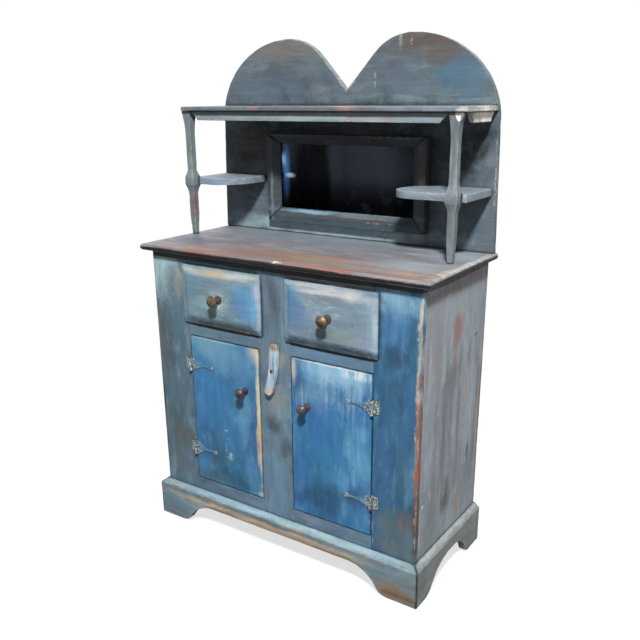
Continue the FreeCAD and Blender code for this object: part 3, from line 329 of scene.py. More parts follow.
def old_paint(
    name, tones, along, marks, face=None, reach=0.6, ragged=6.0, streaks=0.10, seed=0.0, undercoat=UNDERCOAT
):
    """Makes one worn paint from its deep, main and light tones and the marks on it.

    A mark is its kind, colour, centre, radius and strength, with lengths in millimetres. A face is
    its direction, its place and how deep marks reach, and on it two numbers are enough for a centre
    or a radius.
    """
    # The tones of the paint itself, in clouds of three sizes.
    material, tree, shader, place = blank_material(name)
    shader.inputs["Specular IOR Level"].default_value = 0.3
    deep, main, light = (tone(*colour) for colour in tones)
    broad = cloud(tree, place, 5.0, SOFT_ALONG[along], 5.0, 0.6, seed)
    haze = cloud(tree, place, 13.0, SOFT_ALONG[along], 6.0, 0.65, seed + 3)
    daub = cloud(tree, place, 30.0, SOFT_ALONG[along], 5.0, 0.6, seed + 21)
    bristle = cloud(tree, place, 6.0, ALONG[along], 6.0, 0.68, seed + 7)
    fine = cloud(tree, place, 150.0, (1, 1, 1), 3.0, 0.6, seed + 5)
    paint = blend(tree, main, deep, band(tree, broad, 0.48, 0.66))
    paint = blend(tree, paint, light, band(tree, haze, 0.50, 0.70, 0.0, 0.75))
    paint = blend(tree, paint, deep, band(tree, daub, 0.52, 0.66, 0.0, 0.45))
    paint = blend(tree, paint, light, band(tree, daub, 0.46, 0.34, 0.0, 0.35))

    # The marks, one over the other. What is rubbed off shows the wood further down.
    unrest = restless(tree, place, 14.0, 2.6)
    calm = restless(tree, place, 14.0, 0.7)
    flakes = cloud(tree, place, 70.0, SOFT_ALONG[along], 4.0, 0.7, seed + 23)
    broken = {
        "wash": band(tree, haze, 0.30, 0.55, 0.55, 1.0),
        "dry": band(tree, bristle, 0.40, 0.58),
        "chips": band(tree, flakes, 0.50, 0.62),
        "rubbed": band(tree, bristle, 0.36, 0.48),
        "patch": band(tree, haze, 0.30, 0.50, 0.9, 1.0),
    }
    rubbed = 0.0
    for kind, colour, centre, radius, strength in marks:
        if face:
            centre = fill_in(centre, face[0], face[1])
            radius = fill_in(radius, face[0], face[2])
        rim_unrest = calm if kind == "patch" else unrest
        oval = mark_mask(tree, place, rim_unrest, centre, radius, RIMS[kind])
        mask = sum_of(tree, sum_of(tree, oval, broken[kind], "MULTIPLY"), strength, "MULTIPLY")
        if kind == "rubbed":
            rubbed = sum_of(tree, mask, rubbed, "MAXIMUM")
        else:
            paint = blend(tree, paint, tone(*colour), mask)

    # Bristle marks, a slow drift of hue and specks of dirt lie over all of it.
    shade = band(tree, bristle, 0.30, 0.70, 1.0 - streaks, 1.0 + streaks)
    slow = cloud(tree, place, 11.0, SOFT_ALONG[along], 3.0, 0.5, seed + 41)
    drift = band(tree, slow, 0.34, 0.66, 0.492, 0.508)
    paint = put(tree, "HueSaturation", {"Color": paint, "Hue": drift, "Value": shade}).outputs[0]
    specks = band(tree, cloud(tree, place, 55.0, (1, 1, 1), 3.0, 0.7, seed + 31), 0.67, 0.73, 0.0, 0.45)
    paint = blend(tree, paint, tone(*DIRT_AND_SHADE_TONE), specks)

    # Close to an edge the undercoat shows first, then the wood. Beside the next board the paint darkens, as
    # dirt and as painted shade.
    edge = put(tree, "Attribute", attribute_name="edge").outputs["Fac"]
    grime_and_shade = put(tree, "Attribute", attribute_name="grime_and_shade").outputs["Fac"]
    chewed = cloud(tree, place, 42.0, (1, 1, 1), 5.0, 0.65, seed + 9)
    patchy = cloud(tree, place, 7.0, (1, 1, 1), 3.0, 0.5, seed + 13)
    bite = band(tree, sum_of(tree, chewed, patchy), 0.78, 1.42, ragged * 0.8, -ragged)
    depth = sum_of(tree, sum_of(tree, edge, bite), sum_of(tree, grime_and_shade, 9.0, "MULTIPLY"))
    thin = band(tree, depth, reach + 0.6, reach + 4.5, 0.7, 0.0)
    bare = sum_of(tree, band(tree, depth, reach - 0.6, reach + 0.6, 1.0, 0.0), rubbed, "MAXIMUM")
    wood, grain = pine_colour(tree, place, along, seed=seed)
    worn_thin = sum_of(tree, thin, band(tree, fine, 0.36, 0.62), "MULTIPLY")
    paint = blend(tree, paint, tone(*undercoat), worn_thin)
    surface = blend(tree, paint, wood, bare)
    beside = band(tree, grime_and_shade, 0.30, 0.95)
    dirt_and_shade = sum_of(tree, beside, band(tree, chewed, 0.30, 0.62, 0.55, 1.0), "MULTIPLY")
    tree.links.new(blend(tree, surface, tone(*DIRT_AND_SHADE_TONE), dirt_and_shade), shader.inputs["Base Color"])

    # Bare wood is duller than paint and lies a coat lower.
    dull = band(tree, haze, 0.3, 0.7, 0.46, 0.66)
    tree.links.new(sum_of(tree, dull, band(tree, bare, 0.0, 1.0, 0.0, 0.2)), shader.inputs["Roughness"])
    coat = sum_of(tree, band(tree, bristle, 0.2, 0.8, 0.0, 0.8), band(tree, bare, 0.0, 1.0, 0.9, 0.0))
    height = sum_of(tree, sum_of(tree, coat, flakes), band(tree, fine, 0.2, 0.8, 0.0, 0.35))
    raise_surface(tree, shader, height, 0.5)
    return material


# %% [markdown]
# ## Boards with a past
# Each visible board starts as a copy of its CAD mesh. Its sharp edges are rounded over, a grid of
# cuts gives it enough points to bend, and every point is then moved inwards a little: a slow wobble
# for hand planing, and small knocks close to the edges. Shading alone could hint at such wear, but
# only points that move change a board's outline. Each point also keeps two numbers for the paint:
# its distance from the nearest sharp edge, where paint wears through, and how close it is to the
# next piece, where the paint darkens, as dirt and as painted shade, and nothing rubs.

# %% The worn board
EDGE_ANGLE = math.radians(28)
EDGE_REACH = 40.0
POINT_STEP = 3.0
GRID_STEP = 16.0
THICK_ENOUGH = 24.0
CLOSE_CUTS = (4.0, 9.0)
GRIME_AND_SHADE_REACH = 8.0
WOBBLE_SCALE = 9.0
KNOCK_SCALE = 60.0
KNOCK_FLOOR = 0.1
KNOCK_DEPTH = 2.0
KNOCK_REACH = 9.0
TRIM = ("knob", "screw", "washer", "hinge")
FLUSH = ("stile", "rails", "side_panel")
JOINT = 3.0
solid_nodes = {}
for node_name, node_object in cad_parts.items():
    if not any(word in node_name for word in TRIM):
        corners = [vert.co.copy() for vert in node_object.data.vertices]
        solid_nodes[node_name] = (corners, [tuple(face.vertices) for face in node_object.data.polygons])
# Beside these boards and plates the paint darkens, as dirt and as painted shade.
print(len(solid_nodes), "boards and plates that dirt can gather against")


def tree_of(names):
    """Gives a search tree of the surfaces of some nodes."""
    corners, faces = [], []
    for name in names:
        places, sides = solid_nodes[name]
        start = len(corners)
        corners += places
        faces += [tuple(start + index for index in side) for side in sides]
    return BVHTree.FromPolygons(corners, faces)


def neighbours(node):
    """Gives two trees: what dirt and painted shade gather against, and the case boards painted over with
    this one.
    """
    others = [name for name in solid_nodes if name != node]
    in_case = any(word in node for word in FLUSH)
    joined = [name for name in others if in_case and any(word in name for word in FLUSH)]
    apart = [name for name in others if name not in joined]
    return tree_of(apart), tree_of(joined) if joined else None


def sharp_edges(shape):
    """Lists the sharp outer edges of a mesh."""
    return [
        edge
        for edge in shape.edges
        if len(edge.link_faces) == 2 and edge.is_convex and edge.calc_face_angle(0.0) > EDGE_ANGLE
    ]


def points_along(edges):
    """Gives a search tree of points a few millimetres apart on some edges."""
    points = []
    for edge in edges:
        first, second = edge.verts[0].co, edge.verts[1].co
        steps = max(1, int(edge.calc_length() / (POINT_STEP * MM)))
        points += [first.lerp(second, index / steps) for index in range(steps + 1)]
    tree = KDTree(len(points))
    for index, point in enumerate(points):
        tree.insert(point, index)
    tree.balance()
    return tree


def grid_cuts(shape, low, high, step):
    """Cuts a mesh by planes across its three directions, closer together near its sides."""
    for axis in range(3):
        size = high[axis] - low[axis]
        count = max(1, round(size / (step * MM)))
        places = [low[axis] + size * index / count for index in range(1, count)]
        if size > THICK_ENOUGH * MM:
            for inset in CLOSE_CUTS:
                places += [low[axis] + inset * MM, high[axis] - inset * MM]
        way = Vector((axis == 0, axis == 1, axis == 2))
        for place in sorted(places):
            geometry = [*shape.verts, *shape.edges, *shape.faces]
            bmesh.ops.bisect_plane(shape, geom=geometry, plane_co=way * place, plane_no=way, dist=1e-6)


def age(shape, node, rims, seed, wobble, knocks):
    """Moves every point of a board inwards a little and stores what its paint needs to know."""
    edge = shape.verts.layers.float.new("edge")
    grime_and_shade = shape.verts.layers.float.new("grime_and_shade")
    others, joined = neighbours(node)
    for vert in shape.verts:
        away = rims.find(vert.co)[2] / MM
        if joined and joined.find_nearest(vert.co)[3] < JOINT * MM:
            away = EDGE_REACH
        vert[edge] = min(away, EDGE_REACH)
        # Closeness to the next piece, where the paint darkens as dirt and as painted shade.
        beside = others.find_nearest(vert.co)[3] / MM
        vert[grime_and_shade] = max(0.0, 1.0 - beside / GRIME_AND_SHADE_REACH)
        slow = 0.5 + 0.5 * noise.noise(vert.co * WOBBLE_SCALE + seed)
        knock = max(0.0, noise.noise(vert.co * KNOCK_SCALE + seed) - KNOCK_FLOOR)
        near = max(0.0, 1.0 - away / KNOCK_REACH)
        vert.co -= vert.normal * (wobble * slow + knocks * KNOCK_DEPTH * knock * near) * MM


def as_piece(name, shape, finish, body):
    """Turns a finished shape into a piece that rides on a body."""
    mesh = bpy.data.meshes.new(name)
    shape.to_mesh(mesh)
    shape.free()
    mesh.materials.append(finish)
    piece = into_scene(name, mesh)
    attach(piece, body)
    return piece


def worn(node, body, finish, soft=1.6, step=GRID_STEP, wobble=0.5, knocks=0.9):
    """Makes the worn copy of one CAD board and puts it in the board's place."""
    shape = bmesh.new()
    shape.from_mesh(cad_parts[node].data)
    bmesh.ops.remove_doubles(shape, verts=shape.verts, dist=1e-5)
    flat = math.radians(1.0)
    bmesh.ops.dissolve_limit(shape, angle_limit=flat, verts=shape.verts, edges=shape.edges)
    low = [min(vert.co[axis] for vert in shape.verts) for axis in range(3)]
    high = [max(vert.co[axis] for vert in shape.verts) for axis in range(3)]
    sharp = sharp_edges(shape)
    rims = points_along(sharp)
    bmesh.ops.bevel(
        shape,
        geom=sharp,
        offset=soft * MM,
        segments=3,
        profile=0.5,
        affect="EDGES",
        material=-1,
        clamp_overlap=True,
    )
    grid_cuts(shape, low, high, step)
    shape.normal_update()
    seed = Vector((len(node) * 1.7, low[0] * 5, low[2] * 9))
    age(shape, node, rims, seed, wobble, knocks)
    for face in shape.faces:
        face.smooth = True
    piece = as_piece(f"worn_{node}", shape, finish, body)
    piece.modifiers.new("flat_faces", "WEIGHTED_NORMAL")
    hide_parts(node)
    print(node, len(piece.data.vertices), "points")


# %% [markdown]
# ## The case
# The case front is three stiles and six short rails, round the drawers and doors. On the real
# piece each was brushed along its own length, so the stiles take paints that run upwards and the
# rails one that runs across. One paint for all would be shorter to write, but its strokes would
# cross the joints. The right-hand stile has kept its strong blue, and its outer corner has been knocked for
# a century: cream undercoat above, rust-brown wood below. A painted shadow lies under the worktop,
# on the front and on the sides, and under each drawer.

# %% Stiles
FRONT = -164
CASE_FACE = ("Y", FRONT, 60)
# A near-black tone for the painted shadows under the worktop and under the drawers.
PAINTED_SHADOW = (27, 25, 26)
stile_left_paint = old_paint(
    "stile_left_paint", ((64, 84, 96), (86, 110, 124), (122, 148, 160)), "Z", face=CASE_FACE,
    marks=[
        ("wash", (166, 194, 204), (-400, 785), (70, 84), 0.85),
        ("wash", (96, 104, 106), (-366, 744), (30, 60), 0.45),
        ("dry", (80, 84, 84), (-406, 759), (10, 50), 0.6),
        ("wash", (146, 146, 128), (-328, 758), (20, 55), 0.5),
        ("wash", (84, 82, 78), (-405, 575), (34, 95), 0.75),
        ("wash", (78, 112, 124), (-350, 650), (40, 60), 0.6),
        ("wash", (74, 84, 86), (-375, 343), (50, 50), 0.65),
        ("wash", (88, 88, 78), (-361, 278), (54, 34), 0.65),
        ("wash", (112, 112, 118), (-377, 193), (40, 40), 0.6),
        ("dry", (96, 78, 60), (-429, 350), (7, 30, 280), 0.9),
        ("wash", (44, 42, 40), (-427, 386), (7, 30, 60), 0.8),
        # A painted shadow under the worktop.
        ("patch", PAINTED_SHADOW, (-366, 834), (120, 10), 0.97),
    ],
)
stile_right_paint = old_paint(
    "stile_right_paint", ((42, 76, 104), (56, 98, 134), (90, 132, 164)), "Z", face=CASE_FACE, seed=4.0,
    marks=[
        ("wash", (132, 168, 190), (370, 800), (70, 50), 0.85),
        ("wash", (72, 124, 166), (361, 735), (45, 55), 0.6),
        ("wash", (40, 70, 96), (357, 653), (34, 32), 0.75),
        ("wash", (40, 80, 112), (335, 531), (26, 70), 0.7),
        ("wash", (44, 78, 104), (372, 575), (24, 36), 0.6),
        ("wash", (70, 98, 118), (390, 364), (26, 70), 0.5),
        ("wash", (92, 108, 98), (350, 215), (46, 50), 0.75),
        ("wash", (110, 100, 94), (402, 226), (24, 45), 0.7),
        ("wash", (98, 110, 108), (375, 135), (70, 50), 0.9),
        ("wash", (172, 178, 172), (426, 730), (5, 25, 110), 0.65),
        ("dry", (190, 186, 170), (425, 640), (6, 25, 190), 0.9),
        ("chips", (196, 190, 172), (423, 600), (6, 25, 240), 0.7),
        ("wash", (136, 84, 62), (429, -160, 440), (7, 14, 230), 1.0),
        ("wash", (84, 58, 46), (429, -160, 240), (7, 16, 90), 0.95),
        ("dry", (178, 112, 84), (426, 420), (6, 14, 200), 0.7),
        # A painted shadow under the worktop.
        ("patch", PAINTED_SHADOW, (366, 834), (120, 8), 0.97),
    ],
)
centre_stile_paint = old_paint(
    "centre_stile_paint", ((82, 96, 106), (98, 122, 138), (116, 144, 160)), "Z",
    face=CASE_FACE, seed=7.0,
    marks=[
        ("wash", (74, 74, 76), (-6, 760), (20, 60), 0.7),
        ("dry", (60, 60, 62), (9, 729), (12, 48), 0.7),
        ("wash", (136, 150, 160), (-42, 787), (12, 50), 0.7),
        ("wash", (164, 148, 118), (0, 592), (40, 28), 0.85),
        ("wash", (132, 138, 138), (-2, 480), (46, 60), 0.75),
        ("wash", (58, 62, 60), (-12, 394), (28, 26), 0.7),
        ("wash", (64, 68, 64), (25, 340), (18, 26), 0.6),
        ("wash", (102, 136, 162), (-3, 200), (48, 90), 0.7),
        # A painted shadow under the worktop.
        ("patch", PAINTED_SHADOW, (0, 834), (120, 10), 0.97),
    ],
)
for node, finish in (
    ("stile_left", stile_left_paint),
    ("stile_right", stile_right_paint),
    ("centre_stile", centre_stile_paint),
):
    worn(node, "cabinet", finish)

# %% Rails
rail_paint = old_paint(
    "rail_paint", ((78, 100, 116), (96, 122, 140), (116, 142, 158)), "X", face=CASE_FACE, seed=2.0,
    marks=[
        ("dry", (150, 128, 120), (180, 826), (150, 9), 0.8),
        ("wash", (92, 128, 156), (180, 625), (150, 20), 0.6),
        # Painted shadows under the worktop and under each drawer.
        ("patch", PAINTED_SHADOW, (0, 834), (700, 10), 0.97),
        ("patch", PAINTED_SHADOW, (-177, 645), (190, 7), 0.97),
        ("patch", PAINTED_SHADOW, (177, 645), (190, 7), 0.97),
    ],
)
for node in ("top_rails", "middle_rails", "bottom_rails"):
    worn(node, "cabinet", rail_paint, soft=0.4, knocks=0.3)

# %% Side panels
SIDE = 430
side_paint = old_paint(
    "side_paint", ((124, 131, 137), (145, 153, 162), (168, 174, 182)), "Z",
    face=("X", SIDE, 60), seed=5.0, reach=0.8, ragged=7.0,
    marks=[
        ("wash", (150, 158, 162), (40, 770), (200, 60), 0.7),
        ("wash", (140, 134, 138), (-90, 690), (50, 130), 0.6),
        ("wash", (142, 108, 96), (43, 690), (34, 44), 0.8),
        ("wash", (144, 122, 112), (30, 620), (13, 75), 0.7),
        ("wash", (122, 118, 130), (22, 450), (12, 190), 0.7),
        ("dry", (172, 148, 126), (102, 520), (9, 90), 0.6),
        ("wash", (172, 178, 182), (-40, 620), (14, 120), 0.6),
        ("dry", (104, 102, 106), (118, 610), (8, 120), 0.5),
        ("dry", (112, 112, 118), (-70, 480), (10, 190), 0.45),
        ("dry", (186, 190, 194), (150, 440), (8, 160), 0.45),
        ("wash", (116, 104, 104), (20, 560), (60, 40), 0.5),
        ("wash", (116, 124, 124), (60, 300), (70, 60), 0.5),
        ("dry", (176, 182, 186), (-113, 590), (12, 120), 0.5),
        ("wash", (160, 168, 174), (120, 400), (16, 170), 0.5),
        ("wash", (84, 76, 76), (7, 231), (40, 50), 0.85),
        ("wash", (96, 98, 100), (66, 430), (9, 190), 0.55),
        ("wash", (98, 100, 104), (-20, 400), (8, 170), 0.5),
        ("dry", (78, 80, 84), (180, 520), (12, 150), 0.7),
        ("wash", (92, 88, 88), (178, 300), (16, 70), 0.6),
        ("wash", (146, 138, 132), (84, 380), (10, 150), 0.5),
        ("dry", (158, 132, 104), (92, 175), (14, 50), 0.7),
        ("wash", (60, 66, 70), (140, 313), (8, 26), 0.85),
        ("wash", (84, 92, 96), (159, 651), (12, 6), 0.8),
        ("wash", (112, 118, 120), (150, 230), (60, 80), 0.6),
        ("wash", (116, 124, 122), (-90, 150), (80, 60), 0.6),
        ("wash", (232, 234, 230), (-129, 264), (5, 7), 1.0),
        ("rubbed", None, (207, 400), (7, 260), 0.9),
        # The next two marks are a painted shadow under the worktop's overhang.
        ("wash", (122, 110, 102), (25, 812), (290, 18), 0.7),
        ("patch", (60, 51, 46), (25, 836), (290, 13), 0.9),
    ],
)
side_left_paint = old_paint(
    "side_left_paint", ((112, 118, 122), (132, 139, 147), (158, 164, 170)), "Z",
    face=("X", -SIDE, 60), seed=25.0, reach=0.8, ragged=7.0,
    marks=[
        ("wash", (104, 130, 146), (-100, 700), (70, 130), 0.7),
        ("wash", (100, 92, 92), (60, 250), (60, 80), 0.7),
        ("wash", (150, 158, 162), (90, 620), (60, 150), 0.7),
        ("wash", (150, 112, 96), (-60, 480), (24, 60), 0.7),
        ("dry", (176, 182, 186), (10, 560), (16, 200), 0.7),
        ("dry", (78, 80, 84), (150, 420), (12, 200), 0.7),
        ("wash", (96, 98, 100), (-20, 330), (9, 240), 0.6),
        ("rubbed", None, (207, 400), (7, 260), 0.9),
        # A painted shadow under the worktop's overhang.
        ("patch", (60, 51, 46), (25, 836), (290, 13), 0.9),
    ],
)
for side, finish in (("left", side_left_paint), ("right", side_paint)):
    worn(f"side_panel_{side}", "cabinet", finish, soft=1.2)

# %% Bracket base
BASE = -184
plinth_paint = old_paint(
    "plinth_paint", ((98, 114, 120), (116, 136, 144), (144, 164, 172)), "X",
    face=("Y", BASE, 30), seed=6.0, ragged=7.0,
    marks=[
        ("wash", (150, 182, 194), (-60, -176, 113), (440, 14, 9), 0.8),
        ("wash", (104, 134, 148), (-410, 60), (70, 60, 60), 0.8),
        ("wash", (176, 160, 140), (-90, 82), (250, 12), 0.7),
        ("dry", (200, 174, 146), (-100, 82), (300, 15), 0.85),
        ("dry", (84, 98, 104), (-100, 100), (420, 10), 0.6),
        ("dry", (132, 154, 160), (-330, 50), (90, 44), 0.5),
        ("dry", (80, 92, 96), (-400, 30), (60, 30), 0.6),
        ("dry", (152, 166, 170), (400, 80), (60, 30), 0.6),
        ("dry", (84, 94, 96), (420, 60), (50, 24), 0.6),
        ("wash", (70, 68, 62), (-250, 20), (40, 22), 0.5),
        ("wash", (182, 164, 142), (200, 82), (150, 12), 0.8),
        ("rubbed", None, (-190, 74), (90, 9), 0.8),
        ("rubbed", None, (-10, 73), (130, 9), 0.8),
        ("rubbed", None, (170, 73), (110, 8), 0.8),
        ("wash", (96, 120, 138), (333, 72), (60, 60, 34), 0.7),
        ("wash", (134, 114, 94), (380, 22), (76, 40, 34), 0.95),
        ("dry", (104, 80, 62), (390, 12), (64, 40, 20), 0.9),
    ],
)
plinth_side_paint = old_paint(
    "plinth_side_paint", ((100, 108, 108), (118, 126, 124), (148, 158, 160)), "Y", seed=8.0, ragged=7.0,
    marks=[
        ("wash", (176, 184, 188), (443, 0, 115), (14, 230, 6), 0.8),
        ("wash", (100, 108, 106), (450, -150, 60), (30, 40, 50), 0.6),
        ("wash", (136, 138, 134), (450, 190, 90), (30, 40, 30), 0.6),
    ],
)
worn("plinth_front", "cabinet", plinth_paint)
for node in ("plinth_left", "plinth_right"):
    worn(node, "cabinet", plinth_side_paint)

# %% [markdown]
# ## Doors and drawers
# The doors carry the brightest blue. It is palest at the top, where hands and light reached it, and
# its free edges have lost their paint to the turn button and the neighbouring boards. The drawer
# fronts have a broad bevel all round, rubbed to cream on top with a painted highlight, and darker
# below, partly in the paint and partly as painted shade. Random wear could not put these signs of
# use where hands were, so each board has its own marks.

# %% Doors
DOOR = -166
DOOR_FACE = ("Y", DOOR, 60)
door_left_paint = old_paint(
    "door_left_paint", ((54, 100, 134), (64, 120, 164), (92, 146, 182)), "Z",
    face=DOOR_FACE, seed=1.0, streaks=0.08,
    marks=[
        ("wash", (116, 158, 178), (-225, 590), (90, 40), 0.85),
        ("wash", (98, 148, 176), (-140, 560), (90, 60), 0.7),
        ("wash", (160, 190, 200), (-200, 606), (110, 30, 2.5), 0.8),
        ("wash", (62, 122, 174), (-230, 440), (60, 90), 0.7),
        ("wash", (104, 154, 188), (-115, 400), (30, 110), 0.6),
        ("wash", (56, 114, 164), (-190, 360), (60, 90), 0.6),
        ("wash", (50, 88, 112), (-213, 250), (70, 40), 0.85),
        ("wash", (38, 74, 98), (-160, 196), (80, 36), 0.8),
        ("wash", (70, 94, 100), (-240, 178), (50, 24), 0.8),
        ("wash", (80, 132, 166), (-86, 210), (24, 50), 0.6),
        ("chips", (186, 206, 216), (-180, 335), (9, 90), 0.6),
        ("chips", (190, 200, 200), (-172, 262), (12, 14), 0.8),
        ("wash", (178, 180, 168), (-58, 400), (6, 30, 200), 0.8),
        ("wash", (150, 174, 188), (-57, 240), (5, 30, 110), 0.8),
        ("dry", (206, 196, 172), (-60, 400), (8, 30, 200), 0.9),
        ("dry", (196, 168, 134), (-61, 340), (10, 30, 60), 1.0),
        ("wash", (204, 194, 172), (-68, 590), (22, 30, 24), 0.95),
        ("wash", (196, 196, 184), (-60, 167), (12, 30, 10), 0.9),
    ],
)
door_right_paint = old_paint(
    "door_right_paint", ((46, 92, 132), (58, 114, 160), (88, 144, 184)), "Z",
    face=DOOR_FACE, seed=3.0, streaks=0.08,
    marks=[
        ("wash", (142, 186, 210), (190, 592), (140, 40), 0.9),
        ("wash", (110, 154, 186), (140, 545), (60, 60), 0.6),
        ("dry", (168, 194, 210), (173, 556), (24, 60), 0.6),
        ("dry", (136, 174, 200), (235, 540), (50, 60), 0.6),
        ("dry", (206, 218, 224), (255, 596), (44, 16), 0.9),
        ("wash", (60, 88, 112), (76, 540), (16, 34), 0.7),
        ("wash", (204, 218, 224), (190, 606), (120, 30, 2.5), 0.9),
        ("wash", (52, 110, 160), (131, 400), (60, 90), 0.7),
        ("wash", (98, 156, 188), (255, 370), (30, 100), 0.7),
        ("dry", (108, 164, 194), (262, 366), (34, 100), 0.6),
        ("wash", (88, 146, 180), (285, 323), (14, 90), 0.6),
        ("wash", (38, 78, 108), (147, 222), (90, 46), 0.85),
        ("wash", (52, 78, 90), (245, 250), (44, 26), 0.8),
        ("chips", (190, 206, 214), (290, 196), (8, 24), 0.9),
        ("wash", (200, 192, 172), (60, 580), (9, 30, 34), 0.9),
        ("dry", (150, 176, 196), (84, 510), (22, 40), 0.5),
    ],
)
worn("door_left", "door_left", door_left_paint)
worn("door_right", "door_right", door_right_paint)

# %% Drawer fronts
LIP = -178
LIP_FACE = ("Y", LIP, 30)
drawer_left_paint = old_paint(
    "drawer_left_paint", ((94, 118, 132), (112, 138, 152), (138, 160, 170)), "X",
    face=LIP_FACE, seed=9.0, reach=-0.3,
    marks=[
        # The next four marks pale the top bevel: rubbed to cream, and a painted highlight where it faces
        # up.
        ("wash", (144, 150, 148), (-177, 800), (150, 20, 16), 0.9),
        ("wash", (184, 188, 184), (-279, 803), (34, 10), 0.7),
        ("wash", (176, 154, 120), (-205, 801), (56, 11), 0.9),
        ("wash", (178, 180, 172), (-108, 804), (60, 9), 0.75),
        ("wash", (104, 136, 152), (-284, 754), (40, 40), 0.8),
        ("wash", (112, 116, 136), (-206, 763), (34, 16), 0.5),
        ("wash", (84, 140, 188), (-90, 742), (38, 50), 0.9),
        ("wash", (98, 160, 200), (-66, 722), (20, 36), 0.7),
        ("wash", (150, 176, 172), (-178, 722), (40, 36), 0.7),
        ("chips", (188, 210, 204), (-176, 716), (30, 34), 0.8),
        ("wash", (158, 172, 190), (-45, 730), (9, 70), 0.9),
        # A dark bottom bevel, partly its paint and partly painted shade.
        ("wash", (64, 66, 64), (-190, 656), (160, 12), 0.95),
        ("wash", (140, 156, 164), (-308, 730), (9, 70), 0.6),
    ],
)
drawer_right_paint = old_paint(
    "drawer_right_paint", ((102, 122, 138), (122, 144, 158), (150, 166, 176)), "X",
    face=LIP_FACE, seed=10.0, reach=-0.3, ragged=8.0,
    marks=[
        # Rubbed paint and a painted highlight on the top bevel.
        ("wash", (148, 156, 158), (177, 798), (150, 20, 18), 0.7),
        ("wash", (96, 112, 116), (150, 688), (60, 26), 0.7),
        ("dry", (112, 128, 136), (240, 752), (60, 30), 0.4),
        # The next two marks are rubbed paint and a painted highlight on the top bevel.
        ("wash", (186, 186, 180), (251, 796), (66, 14), 0.7),
        ("dry", (176, 168, 166), (140, 800), (80, 14), 0.7),
        ("wash", (80, 124, 160), (64, 744), (36, 56), 0.95),
        ("wash", (96, 118, 150), (90, 716), (30, 30), 0.6),
        ("wash", (112, 112, 124), (170, 776), (60, 12), 0.5),
        ("wash", (176, 190, 198), (307, 735), (9, 84), 0.8),
        ("wash", (124, 140, 128), (217, 690), (50, 22), 0.6),
        ("wash", (138, 142, 168), (275, 700), (36, 24), 0.6),
        # A dark bottom bevel, partly its paint and partly painted shade.
        ("wash", (46, 62, 74), (170, 656), (160, 12), 0.95),
        ("chips", (168, 190, 196), (150, 740), (60, 40), 0.35),
        ("wash", (140, 156, 170), (46, 730), (9, 70), 0.6),
    ],
)
for side, finish in (("left", drawer_left_paint), ("right", drawer_right_paint)):
    worn(f"drawer_{side}_front", f"drawer_{side}", finish, step=12.0)

# %% Turn button
button_paint = old_paint(
    "button_paint", ((120, 144, 158), (160, 184, 198), (206, 220, 228)), "Z",
    seed=12.0, streaks=0.22, ragged=7.0,
    marks=[
        ("rubbed", None, (0, -175, 632), (30, 20, 14), 1.0),
        ("wash", (206, 164, 146), (0, -175, 498), (30, 20, 16), 0.95),
        ("dry", (226, 230, 230), (-8, -178, 580), (5, 12, 50), 0.9),
        ("dry", (72, 80, 86), (6, -178, 570), (4, 12, 44), 0.7),
    ],
)
worn("turn_button", "turn_button", button_paint, soft=1.2, step=7.0, wobble=0.4, knocks=1.0)

# %% [markdown]
# ## Worktop and upper boards
# The worktop has lost most of its blue to scrubbing. What is left is a mauve grey with tan patches,
# and its rounded front edge is worn to a warm red underpaint. A second layer of paint could be
# modelled for that, but marks of the underpaint's colour do the same with less. Below the nose the
# edge is near black, partly stained by hands and partly painted shade. The boards above are slate
# grey, with brown on the crowns of the arches where the paint has weathered. Under the top shelf
# their tones are darkened by painted shade, with a painted shadow of the shelf and painted light
# below it and at its right end.

# %% Worktop
TOP = 861
worktop_paint = old_paint(
    "worktop_paint", ((106, 105, 110), (124, 125, 130), (146, 151, 157)), "X",
    face=("Z", TOP, 30), seed=14.0, undercoat=(164, 116, 96),
    marks=[
        ("wash", (112, 128, 140), (-100, 130), (360, 60), 0.8),
        ("wash", (84, 88, 100), (-340, -70), (110, 110), 0.9),
        ("wash", (102, 96, 98), (-234, -30), (90, 40), 0.7),
        ("wash", (138, 114, 96), (20, -90), (210, 60), 0.85),
        ("wash", (130, 100, 86), (-150, -140), (240, 44, 20), 0.85),
        ("wash", (140, 118, 102), (210, -110), (170, 60), 0.75),
        ("wash", (118, 120, 124), (191, 20), (90, 50), 0.6),
        ("wash", (142, 150, 154), (340, -60), (90, 90), 0.8),
        ("wash", (138, 152, 162), (390, 120), (80, 80), 0.7),
        ("dry", (146, 98, 76), (-222, -178), (150, 12, 9), 0.9),
        ("dry", (142, 92, 68), (205, -176), (150, 12, 9), 0.8),
        ("dry", (164, 132, 112), (390, -140), (80, 46, 9), 0.8),
        ("dry", (190, 168, 148), (438, -110), (12, 90, 9), 0.8),
        ("dry", (120, 84, 66), (330, -172), (120, 10, 9), 0.8),
        ("dry", (148, 102, 78), (0, -180), (460, 9, 8), 0.85),
        # The front edge below the nose is near black: stain from hands, and painted shade.
        ("patch", (30, 24, 23), (-40, -191, 848.5), (700, 9, 9.5), 1.0),
        ("wash", (122, 72, 60), (0, -188, 859.5), (440, 5, 2.5), 0.9),
        ("chips", (236, 232, 224), (30, -186), (14, 10, 8), 0.9),
        # The right end's edge is dark: stain, and painted shade.
        ("patch", (42, 36, 35), (458, 40, 848), (9, 420, 9), 0.95),
        ("wash", (174, 178, 178), (449, 20), (9, 180, 6), 0.7),
        ("chips", (210, 206, 194), (450, 60), (9, 160, 5), 0.8),
    ],
)
worn("worktop", "cabinet", worktop_paint, soft=1.5, knocks=0.4)

# %% Back board, top shelf and aprons
BOARD = 189
